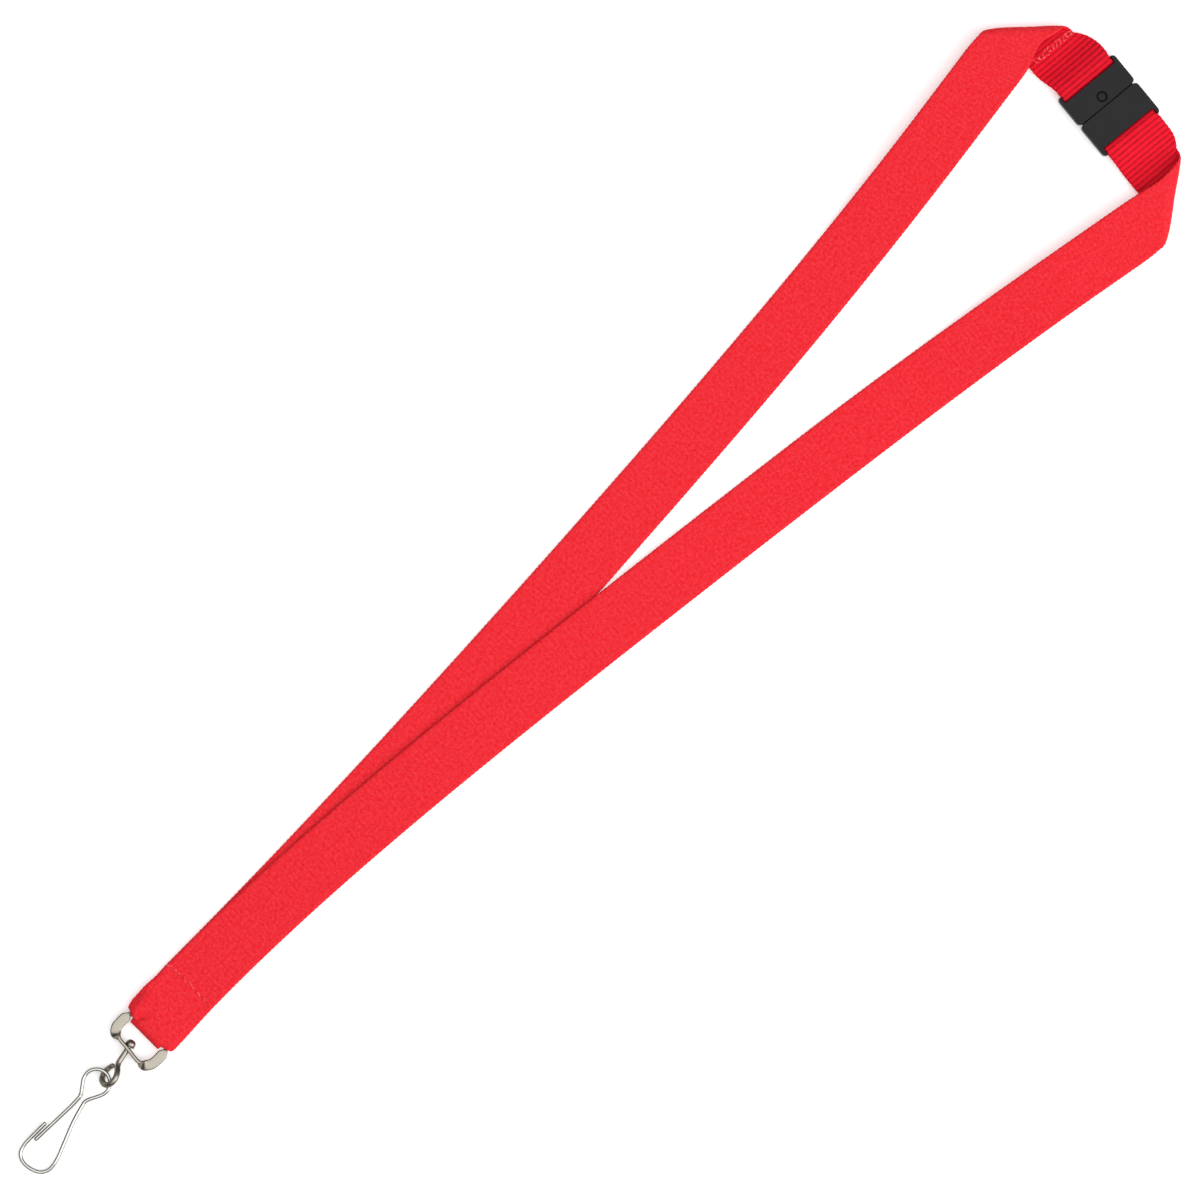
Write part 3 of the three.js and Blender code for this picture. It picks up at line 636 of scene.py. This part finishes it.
# %% Round wire
def round_rings(path, radius, sides=20):
    """Rings of a round section swept along a path in millimetres. radius may be an array."""
    path = np.asarray(path, float)
    radius = np.broadcast_to(np.asarray(radius, float), len(path)).copy()
    tangent = np.gradient(path, axis=0)
    tangent /= np.linalg.norm(tangent, axis=1, keepdims=True)
    side = np.cross(tangent[0], [0.3, 0.1, 1.0])
    turn = np.linspace(0, 2 * math.pi, sides, endpoint=False)
    rings = []
    for place, ahead, r in zip(path, tangent, radius):
        side = side - (side @ ahead) * ahead
        side /= np.linalg.norm(side)
        up = np.cross(ahead, side)
        rings.append(place + r * (np.cos(turn)[:, None] * side + np.sin(turn)[:, None] * up))
    return np.array(rings)


def wire(name, path, radius, sides=20):
    return outward(skin(name, round_rings(path, radius, sides)))


def ball_end(path, radius, at_start=False, at_end=True, steps=6):
    """Adds rings that close a wire's end in a slightly flattened dome."""
    path, radius = np.asarray(path, float), np.broadcast_to(np.asarray(radius, float), len(path)).copy()
    angle = np.linspace(0, math.pi / 2, steps + 1)[1:]
    for wanted, end, before in ((at_end, -1, -2), (at_start, 0, 1)):
        if not wanted:
            continue
        ahead = (path[end] - path[before]) / np.linalg.norm(path[end] - path[before])
        dome = path[end] + np.sin(angle)[:, None] * ahead * radius[end] * 0.8
        rim = np.maximum(np.cos(angle), 0.04) * radius[end]
        if end == -1:
            path, radius = np.concatenate([path, dome]), np.concatenate([radius, rim])
        else:
            path, radius = np.concatenate([dome[::-1], path]), np.concatenate([rim[::-1], radius])
    return path, radius


# %% [markdown]
# ## Swivel eye
# The swivel is one soft steel pin. Its shank passes through the lower bar and is headed over on the
# inside like a rivet. The other end is bent round into an eye, and the eye stands at an angle to the
# table because the shank is free to turn. The pin is thinner towards its end, and the head is a
# profile turned about the shank.

# %% Swivel eye
EYE_TWIST = math.radians(-48)
EYE_PIN = [(0, 0.6), (0, -1.5), (0, -3.6), (0.1, -5.2), (0.75, -6.6), (2.0, -7.9), (2.85, -9.6),
           (2.75, -11.4), (1.7, -12.9), (0, -13.4), (-1.75, -12.9), (-2.75, -11.5), (-2.9, -9.9),
           (-2.3, -8.2), (-1.45, -7.1)]
PIN_RADIUS = 0.85
pin_path = smooth_path(EYE_PIN, 110)
share = np.linspace(0, 1, len(pin_path))
pin_radius = PIN_RADIUS + 0.12 * ramp(share, 0.1, 0.35) - 0.14 * ramp(share, 0.8, 1.0)
pin_path, pin_radius = ball_end(pin_path, pin_radius)
pin_path = np.pad(pin_path, ((0, 0), (0, 1)))
eye = wire("swivel_eye_pin", pin_path, pin_radius)

head_profile = [(0.8, 0.5), (0.8, 0.8), (1.4, 0.85), (1.58, 1.1), (1.6, 1.7), (1.5, 2.25), (1.25, 2.75),
                (0.85, 3.05), (0.4, 3.18), (0.05, 3.2)]
head = skin("swivel_head", np.array([[(r * math.cos(a), y, r * math.sin(a))
                                      for a in np.linspace(0, 2 * math.pi, 32, endpoint=False)]
                                     for r, y in head_profile]))
outward(head)
for piece in (eye, head):
    piece.data.transform(Matrix.Rotation(EYE_TWIST, 4, "Y"))
    piece.data.transform(BRACKET_AT @ SWIVEL_AT)
head.data.set_sharp_from_angle(angle=math.radians(50))
print("eye faces:", len(eye.data.polygons))

# %% [markdown]
# ## Spring hook
# One bright spring wire makes the whole hook: a hooked tip, the round foot, the long back, the upper
# loop through the eye, a crossed neck, and the straight gate leg that springs against the tip. It is
# swept as two lengths that meet at the neck, because the gate leg flexes and the rest doesn't.

# %% Spring hook
HOOK_AT = placed(-4.7, -221.2, 2.7, tilt=3.3)
HOOK_WIRE, HOOK_LOOP = 0.62, 4.3
HOOK_FOOT = [(-2.4, -20.9), (-2.4, -26), (-2.3, -30), (-1.3, -33), (1, -34.4), (4.1, -34.4),
             (7.5, -32.9), (8.9, -30.2), (8.5, -26.8), (6.65, -21.8), (3.8, -14.6), (2, -8.4),
             (1.75, -6.6)]
HOOK_ROUND = [(HOOK_LOOP * math.cos(math.radians(a)), HOOK_LOOP * math.sin(math.radians(a)))
              for a in range(-20, 201, 20)]
HOOK_NECK = [(-3.7, -2.3), (-2.1, -4.5), (-0.8, -6.4), (-0.5, -8.5), (-0.85, -26.5)]
GATE_FROM = -6.4

whole = smooth_path(HOOK_FOOT + HOOK_ROUND + HOOK_NECK, 620)
whole, whole_radius = ball_end(np.pad(whole, ((0, 0), (0, 1))), HOOK_WIRE, at_start=True)
neck_at = len(whole) - int(np.argmax(whole[::-1, 1] > GATE_FROM)) - 1
whole_rings = round_rings(whole, whole_radius)
hook = outward(skin("spring_hook_wire", whole_rings[:neck_at + 1]))
gate = outward(skin("spring_gate_wire", whole_rings[neck_at:]))
for piece in (hook, gate):
    piece.data.transform(HOOK_AT)
print("hook and gate faces:", len(hook.data.polygons), len(gate.data.polygons))

# %% [markdown]
# ## Sewing
# The strap's two layers are held by a lockstitch across the end, and each tail by a row near its
# fold. A stitch is a short plump piece of twisted thread that dips into a needle hole at both ends,
# so each one is its own small arched capsule, set a little out of line by a seeded shuffle.

# %% Sew a row of stitches
THREAD = 0.44
HOLE = 0.35
SINK, ARCH = 0.2, 0.3


def stitches(name, surface, start, end, face, seed, pitch=2.0, skew=0.16):
    """A row of stitches on a surface, between two (u, s) places. face is 1 above and -1 below."""
    shuffle = np.random.default_rng(seed)
    (u0, s0), (u1, s1) = start, end
    count = int(math.hypot((u1 - u0) * WEB_WIDTH / 2, s1 - s0) / pitch)
    ends = np.linspace(-1, 1, 9)
    arch = np.sqrt(np.clip(1 - ends**6, 0, 1))
    radius = THREAD / 2 * np.maximum(np.sqrt(np.clip(1 - ends**8, 0, 1)), 0.35)
    row = []
    for i in range(count):
        across = (i + 0.5 + ends * (0.5 - HOLE / pitch / 2)) / count
        u = u0 + (u1 - u0) * across
        s = s0 + (s1 - s0) * across + shuffle.normal(0, skew) * ends + shuffle.normal(0, skew / 2)
        normal = surface_directions(surface, u, s)[1] * face
        spine = surface(u, s) + normal * (WEB_THICK / 2 - SINK + ARCH * arch)[:, None]
        spine[..., :2] -= CENTRE
        row.append(wire("stitch", spine, radius, sides=8))
    return join(name, *row)


# %% [markdown]
# ## The three seams
# The end seam shows above and below, so it has a row on each face. Each tail is held by three short
# rows that wander into each other, as a bar tack does, in the shade of its fold.

# %% Sew the end and the necks
def neck_patch(side, z):
    """The neck stretch's flat part: u runs across it and s is the distance from the buckle's middle."""
    def surface(u, s):
        place = BUCKLE_CENTRE + (s * side)[..., None] * ALONG + (u * WEB_WIDTH / 2)[..., None] * ACROSS
        return np.concatenate([place, np.full(np.shape(u) + (1,), z)], axis=-1)
    return surface


right_top = leg_surface(RIGHT_SWEEP, right_height, 1, 0)
left_top = leg_surface(LEFT_SWEEP, left_height, -1, 0)
row_start, row_end = SEAM_Y + 0.9, SEAM_Y + 0.5
upper_row = stitches("upper_row", right_top, (-1.03, row_start), (0.9, row_end), 1, seed=3, skew=0.3)
lower_row = stitches("lower_row", left_top, (-0.9, row_start), (0.9, row_end), -1, seed=4)
end_stitches = join("end_seam_stitches", upper_row, lower_row)


def neck_seam(name, side, seed):
    seam = SEAM[side]
    rows = [stitches("row", neck_patch(side, NECK_Z), (-0.95, seam + off), (0.6, seam + off + slant), 1,
                     seed=seed + k, pitch=1.3, skew=0.45)
            for k, (off, slant) in enumerate(((-0.7, 0.5), (0.1, -0.3), (0.9, -0.2)))]
    return join(name, *rows)


right_neck_stitches = neck_seam("right_neck_stitches", 1, 11)
left_neck_stitches = neck_seam("left_neck_stitches", -1, 21)
seams = (end_stitches, right_neck_stitches, left_neck_stitches)
print("stitch faces:", [len(seam.data.polygons) for seam in seams])

# %% [markdown]
# ## Colour and nodes
# Colours are written as the hex codes that a paint chart gives, and turned into the linear values
# that the renderer works in. One helper adds a node with its settings and links.

# %% Colour and node helpers
def linear(code):
    parts = [int(code[k:k + 2], 16) / 255 for k in (1, 3, 5)]
    return (*(c / 12.92 if c <= 0.04045 else ((c + 0.055) / 1.055) ** 2.4 for c in parts), 1)


def add(material, kind, inputs=None, **settings):
    """Adds a node. An input is a value, an output socket, or a node, whose first output is taken."""
    tree = material.node_tree
    made = tree.nodes.new(kind)
    for key, value in settings.items():
        setattr(made, key, value)
    for key, value in (inputs or {}).items():
        value = value.outputs[0] if isinstance(value, bpy.types.Node) else value
        if isinstance(value, bpy.types.NodeSocket):
            tree.links.new(value, made.inputs[key])
        else:
            made.inputs[key].default_value = value
    return made


def new_material(name, **values):
    """A surface with plain values straight on the shader, and the shader itself."""
    material = bpy.data.materials.new(name)
    material.use_nodes = True
    shader = material.node_tree.nodes["Principled BSDF"]
    for key, value in values.items():
        shader.inputs[key.replace("_", " ")].default_value = value
    return material, shader


def link(material, source, target):
    material.node_tree.links.new(source, target)


print("mid grey in linear light:", round(linear("#808080")[0], 3))

# %% [markdown]
# ## Webbing
# Dyed polyester ribbed webbing: a soft, slightly fuzzy matte with a weak satin streak along the
# yarns. The ribs are in the mesh. The material adds the fine warp yarns, 0.4 mm apart, that step
# sideways by half a yarn from each rib to the next, and a painted shade in the furrows between ribs,
# where light hardly reaches. Fuzz and dye vary over 0.3, 1 and 8 mm, so no two ribs look the same.

# %% Ribbed polyester webbing
YARN = 0.4
FUZZ_PER_MM, MOTTLE_PER_MM, DRIFT_PER_MM = 3.2, 0.9, 0.12
# How strongly shade is painted into the furrows, on the face and on the back face.
FACE_SHADE, BACK_SHADE = 0.10, 0.62
BUMP = 0.08 * MM


def webbing():
    material, shader = new_material("ribbed_polyester_webbing", Roughness=0.75, Sheen_Weight=0.02,
                                    Sheen_Roughness=0.45, Specular_IOR_Level=0.12)
    place = add(material, "ShaderNodeAttribute", attribute_name="weave").outputs["Vector"]
    along, across, face = add(material, "ShaderNodeSeparateXYZ", {0: place}).outputs
    rib = add(material, "ShaderNodeMath", {0: along, 1: RIB}, operation="DIVIDE")
    rib_turn = add(material, "ShaderNodeMath", {0: rib, 1: math.pi}, operation="MULTIPLY")
    rib_wave = add(material, "ShaderNodeMath", {0: rib_turn}, operation="SINE")
    crown = add(material, "ShaderNodeMath", {0: rib_wave}, operation="ABSOLUTE")
    rib_number = add(material, "ShaderNodeMath", {0: rib}, operation="FLOOR")
    stagger = add(material, "ShaderNodeMath", {0: rib_number, 1: 0.5}, operation="MULTIPLY")
    yarn_count = add(material, "ShaderNodeMath", {0: across, 1: YARN}, operation="DIVIDE")
    yarn_at = add(material, "ShaderNodeMath", {0: yarn_count, 1: stagger}, operation="ADD")
    yarn_turn = add(material, "ShaderNodeMath", {0: yarn_at, 1: math.pi}, operation="MULTIPLY")
    yarn_wave = add(material, "ShaderNodeMath", {0: yarn_turn}, operation="SINE")
    yarn = add(material, "ShaderNodeMath", {0: yarn_wave}, operation="ABSOLUTE")
    coarse = add(material, "ShaderNodeMapRange", {0: face, 1: 0.2, 2: -0.2, 3: 0.0, 4: 1.0})
    fuzz, mottle, drift = (
        add(material, "ShaderNodeTexNoise", {"Vector": place, "Scale": scale, "Detail": detail,
                                             "Roughness": rough})
        for scale, detail, rough in ((FUZZ_PER_MM, 3.0, 0.65), (MOTTLE_PER_MM, 3.0, 0.7),
                                     (DRIFT_PER_MM, 2.0, 0.5)))
    # Painted shade: the furrows between ribs darken toward #8a0010, a little on the face and strongly on
    # the back face, unevenly by the mottle. The fuzz adds a random darker tone to the same mix.
    hollow = add(material, "ShaderNodeMath", {0: 1.0, 1: crown}, operation="SUBTRACT")
    furrow = add(material, "ShaderNodeMath", {0: hollow, 1: 1.4}, operation="POWER")
    back_shade = add(material, "ShaderNodeMath", {0: coarse, 1: BACK_SHADE}, operation="MULTIPLY")
    depth = add(material, "ShaderNodeMath", {0: FACE_SHADE, 1: back_shade}, operation="ADD")
    shaded = add(material, "ShaderNodeMath", {0: furrow, 1: depth}, operation="MULTIPLY")
    uneven = add(material, "ShaderNodeMath", {0: mottle, 1: 2.0}, operation="MULTIPLY")
    shaded = add(material, "ShaderNodeMath", {0: shaded, 1: uneven}, operation="MULTIPLY")
    matted = add(material, "ShaderNodeMath", {0: 0.6, 1: fuzz}, operation="SUBTRACT")
    matted = add(material, "ShaderNodeMath", {0: matted, 1: 1.2}, operation="MULTIPLY")
    dark = add(material, "ShaderNodeMath", {0: shaded, 1: matted}, operation="ADD")
    patch = add(material, "ShaderNodeMapRange", {0: mottle, 1: 0.35, 2: 0.65, 3: 0.0, 4: 1.0})
    face_dye = add(material, "ShaderNodeMix", {"Factor": patch, 6: linear("#ea1c27"),
                                               7: linear("#f43641")}, data_type="RGBA").outputs[2]
    back_dye = add(material, "ShaderNodeMix", {"Factor": drift, 6: linear("#e40c26"),
                                               7: linear("#f0162f")}, data_type="RGBA").outputs[2]
    base = add(material, "ShaderNodeMix", {"Factor": coarse, 6: face_dye, 7: back_dye},
               data_type="RGBA").outputs[2]
    colour = add(material, "ShaderNodeMix", {"Factor": dark, 6: base, 7: linear("#8a0010")},
                 data_type="RGBA").outputs[2]
    link(material, colour, shader.inputs["Base Color"])
    yarn_height = add(material, "ShaderNodeMath", {0: yarn, 1: 0.5}, operation="MULTIPLY")
    fuzz_height = add(material, "ShaderNodeMath", {0: fuzz, 1: 0.6}, operation="MULTIPLY")
    height = add(material, "ShaderNodeMath", {0: yarn_height, 1: fuzz_height}, operation="ADD")
    bump = add(material, "ShaderNodeBump", {"Height": height, "Strength": 0.35, "Distance": BUMP})
    link(material, bump.outputs[0], shader.inputs["Normal"])
    return material


web_material = webbing()
print(web_material.name, "nodes:", len(web_material.node_tree.nodes))

# %% [markdown]
# ## Thread
# Bonded polyester sewing thread: the strap's colour, a little lighter and smoother, with the fine
# slanting twist of its plies and darker patches of painted shade. Object coordinates are in metres,
# so a scale of 900 repeats about every 1.1 mm.

# %% Twisted polyester thread
def thread():
    material, shader = new_material("twisted_polyester_thread", Roughness=0.6, Specular_IOR_Level=0.08)
    place = add(material, "ShaderNodeTexCoord").outputs["Object"]
    twist = add(material, "ShaderNodeTexWave", {"Vector": place, "Scale": 900.0, "Distortion": 0.6},
                bands_direction="DIAGONAL").outputs[0]
    worn = add(material, "ShaderNodeTexNoise", {"Vector": place, "Scale": 700.0, "Detail": 2.0})
    # Painted shade: the noise worn picks random patches where the thread takes the darker red #d42a35, a
    # painted shade among the stitches.
    share = add(material, "ShaderNodeMapRange", {0: worn, 1: 0.4, 2: 0.6, 3: 0.0, 4: 1.0})
    ply = add(material, "ShaderNodeMix", {"Factor": twist, 6: linear("#ec424b"),
                                          7: linear("#fb7a80")}, data_type="RGBA").outputs[2]
    colour = add(material, "ShaderNodeMix", {"Factor": share, 6: linear("#d42a35"), 7: ply},
                 data_type="RGBA").outputs[2]
    link(material, colour, shader.inputs["Base Color"])
    bump = add(material, "ShaderNodeBump", {"Height": twist, "Strength": 0.4, "Distance": 0.03 * MM})
    link(material, bump.outputs[0], shader.inputs["Normal"])
    return material


thread_material = thread()
print(thread_material.name, "nodes:", len(thread_material.node_tree.nodes))

# %% [markdown]
# ## Acetal
# The buckle is moulded acetal from a finely spark-eroded tool: near-black, even, and satin rather
# than glossy, with a pebble about a fifth of a millimetre across (4500 to the metre) and flow marks
# some 6 mm long.

# %% Fine-grained moulded acetal
def acetal():
    material, shader = new_material("satin_moulded_acetal", Specular_IOR_Level=0.15, IOR=1.48)
    place = add(material, "ShaderNodeTexCoord").outputs["Object"]
    grain = add(material, "ShaderNodeTexNoise", {"Vector": place, "Scale": 4500.0, "Detail": 3.0})
    flow = add(material, "ShaderNodeTexNoise", {"Vector": place, "Scale": 160.0, "Detail": 4.0})
    colour = add(material, "ShaderNodeMix", {"Factor": flow, 6: linear("#1b1a1b"),
                                             7: linear("#232124")}, data_type="RGBA").outputs[2]
    link(material, colour, shader.inputs["Base Color"])
    rough = add(material, "ShaderNodeMapRange", {0: flow, 1: 0.3, 2: 0.7, 3: 0.46, 4: 0.6})
    link(material, rough.outputs[0], shader.inputs["Roughness"])
    bump = add(material, "ShaderNodeBump", {"Height": grain, "Strength": 0.35, "Distance": 0.04 * MM})
    link(material, bump.outputs[0], shader.inputs["Normal"])
    return material


acetal_material = acetal()
print(acetal_material.name, "nodes:", len(acetal_material.node_tree.nodes))

# %% [markdown]
# ## Metals
# The bracket and the swivel are barrel-plated nickel: a warm grey metal, rounded by tumbling, with
# fine scratches and a faint waviness that breaks up reflections. The hook is hard-drawn spring wire
# with a bright plating, cleaner and glossier, with fine drawing lines and a near-black edge colour
# that paints shade where the wire turns away from the eye.

# %% Barrel-plated nickel and bright spring wire
def metal(name, dark, light, edge, smooth, worn, scratch, wave):
    material, shader = new_material(name, Metallic=1.0, Specular_Tint=linear(edge))
    place = add(material, "ShaderNodeTexCoord").outputs["Object"]
    patches = add(material, "ShaderNodeTexNoise", {"Vector": place, "Scale": 420.0, "Detail": 5.0})
    stretched = add(material, "ShaderNodeMapping", {"Vector": place, "Scale": (1.0, 0.12, 1.0)})
    lines = add(material, "ShaderNodeTexNoise", {"Vector": stretched, "Scale": 9000.0, "Detail": 2.0})
    swell = add(material, "ShaderNodeTexNoise", {"Vector": place, "Scale": 900.0, "Detail": 1.0})
    colour = add(material, "ShaderNodeMix", {"Factor": patches, 6: linear(dark), 7: linear(light)},
                 data_type="RGBA").outputs[2]
    link(material, colour, shader.inputs["Base Color"])
    rough = add(material, "ShaderNodeMapRange", {0: patches, 1: 0.3, 2: 0.7, 3: smooth, 4: worn})
    link(material, rough.outputs[0], shader.inputs["Roughness"])
    scratches = add(material, "ShaderNodeMath", {0: lines, 1: scratch}, operation="MULTIPLY")
    waves = add(material, "ShaderNodeMath", {0: swell, 1: wave}, operation="MULTIPLY")
    height = add(material, "ShaderNodeMath", {0: scratches, 1: waves}, operation="ADD")
    bump = add(material, "ShaderNodeBump", {"Height": height, "Strength": 0.5, "Distance": 0.05 * MM})
    link(material, bump.outputs[0], shader.inputs["Normal"])
    return material


nickel_material = metal("barrel_plated_nickel", "#7e786f", "#9f998e", "#8a857c", 0.24, 0.4, 0.25, 1.0)
# The spring wire's near-black edge colour #2e2d2c darkens it at grazing angles: painted shade along the
# wire's sides.
wire_material = metal("bright_spring_wire", "#a5a39e", "#bfbdb8", "#2e2d2c", 0.1, 0.18, 0.2, 0.25)
print([metal_made.name for metal_made in (nickel_material, wire_material)])

# %% [markdown]
# ## Joining the pieces to the frame
# Every piece with a body rides on the body that carries it when the lanyard moves, and its CAD
# part is hidden. The left half of the strap crosses the breakaway hinge, and the gate leg meets the
# hook at its neck; neither is given a body here, so both keep the place they are built in.

# %% Ride and replace
def finish_piece(piece, material, body=None, nodes=()):
    piece.data.materials.clear()
    piece.data.materials.append(material)
    if body:
        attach(piece, body)
    if nodes:
        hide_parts(*nodes)


finish_piece(right_strap, web_material, "strap", ("right_leg", "right_neck", "end_loop"))
finish_piece(left_strap, web_material, None, ("left_leg", "left_neck"))
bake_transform(left_strap)
finish_piece(end_stitches, thread_material, "strap", ("end_seam_thread",))
finish_piece(right_neck_stitches, thread_material, "strap", ("right_neck_seam",))
finish_piece(left_neck_stitches, thread_material, "left_side", ("left_neck_seam",))
finish_piece(socket, acetal_material, "left_side", ("buckle_socket",))
finish_piece(plug, acetal_material, "strap", ("buckle_plug",))
finish_piece(bracket, nickel_material, "bracket", ("swivel_bracket",))
finish_piece(eye, nickel_material, "swivel", ("swivel_eye",))
finish_piece(head, nickel_material, "swivel")
finish_piece(hook, wire_material, "hook", ("hook_wire",))
finish_piece(gate, wire_material, None, ("hook_gate",))
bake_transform(gate)
print("flat lengths in mm:", round(right_length, 1), round(left_length, 1))

# %% [markdown]
# ## Table and light
# A plain pale table, a large soft panel to one side, and a sky that is bright overhead and nearly
# dark towards the horizon. The dark horizon draws the grey edges along round bright wire. The table
# glows a little, as a backlit sheet does, which lifts the shadows.

# %% Floor, lights and view
REACH, FLOOR_Z = 1.5, -0.35 * MM
floor_mesh = bpy.data.meshes.new("floor")
floor_mesh.from_pydata([(-REACH, -REACH, FLOOR_Z), (REACH, -REACH, FLOOR_Z), (REACH, REACH, FLOOR_Z),
                        (-REACH, REACH, FLOOR_Z)], [], [(0, 1, 2, 3)])
floor = new_object("floor", floor_mesh)
glow = {"Emission_Color": linear("#ffffff"), "Emission_Strength": 0.3}
floor_material, _ = new_material("pale_light_table", Base_Color=linear("#f4f4f4"), Roughness=0.9,
                                 Specular_IOR_Level=0.1, **glow)
floor.data.materials.append(floor_material)


def panel(name, place, target, size, power):
    light = bpy.data.lights.new(name, "AREA")
    light.size = size
    light.energy = power
    lamp = bpy.data.objects.new(name, light)
    lamp.location = place
    lamp.rotation_euler = (Vector(target) - Vector(place)).to_track_quat("-Z", "Y").to_euler()
    bpy.context.scene.collection.objects.link(lamp)


panel("key", place=(1.1, 0.35, 1.0), target=(0, 0, 0), size=1.2, power=17)

SKY_FROM, SKY_TO, SKY_DARK, SKY_BRIGHT, SKY_STRENGTH = 0.72, 0.95, 0.04, 1.0, 2.35
sky = bpy.data.worlds.new("studio")
bpy.context.scene.world = sky
sky.use_nodes = True
background = sky.node_tree.nodes["Background"]
direction = add(sky, "ShaderNodeTexCoord").outputs["Generated"]
rise = add(sky, "ShaderNodeSeparateXYZ", {0: direction}).outputs[2]
shade = add(sky, "ShaderNodeMapRange",
            {0: rise, 1: SKY_FROM, 2: SKY_TO, 3: SKY_DARK, 4: SKY_BRIGHT})
link(sky, shade.outputs[0], background.inputs["Color"])
background.inputs["Strength"].default_value = SKY_STRENGTH
bpy.context.scene.view_settings.view_transform = "Standard"
print("sky turns bright", round(90 - math.degrees(math.asin(SKY_FROM))), "degrees from overhead")
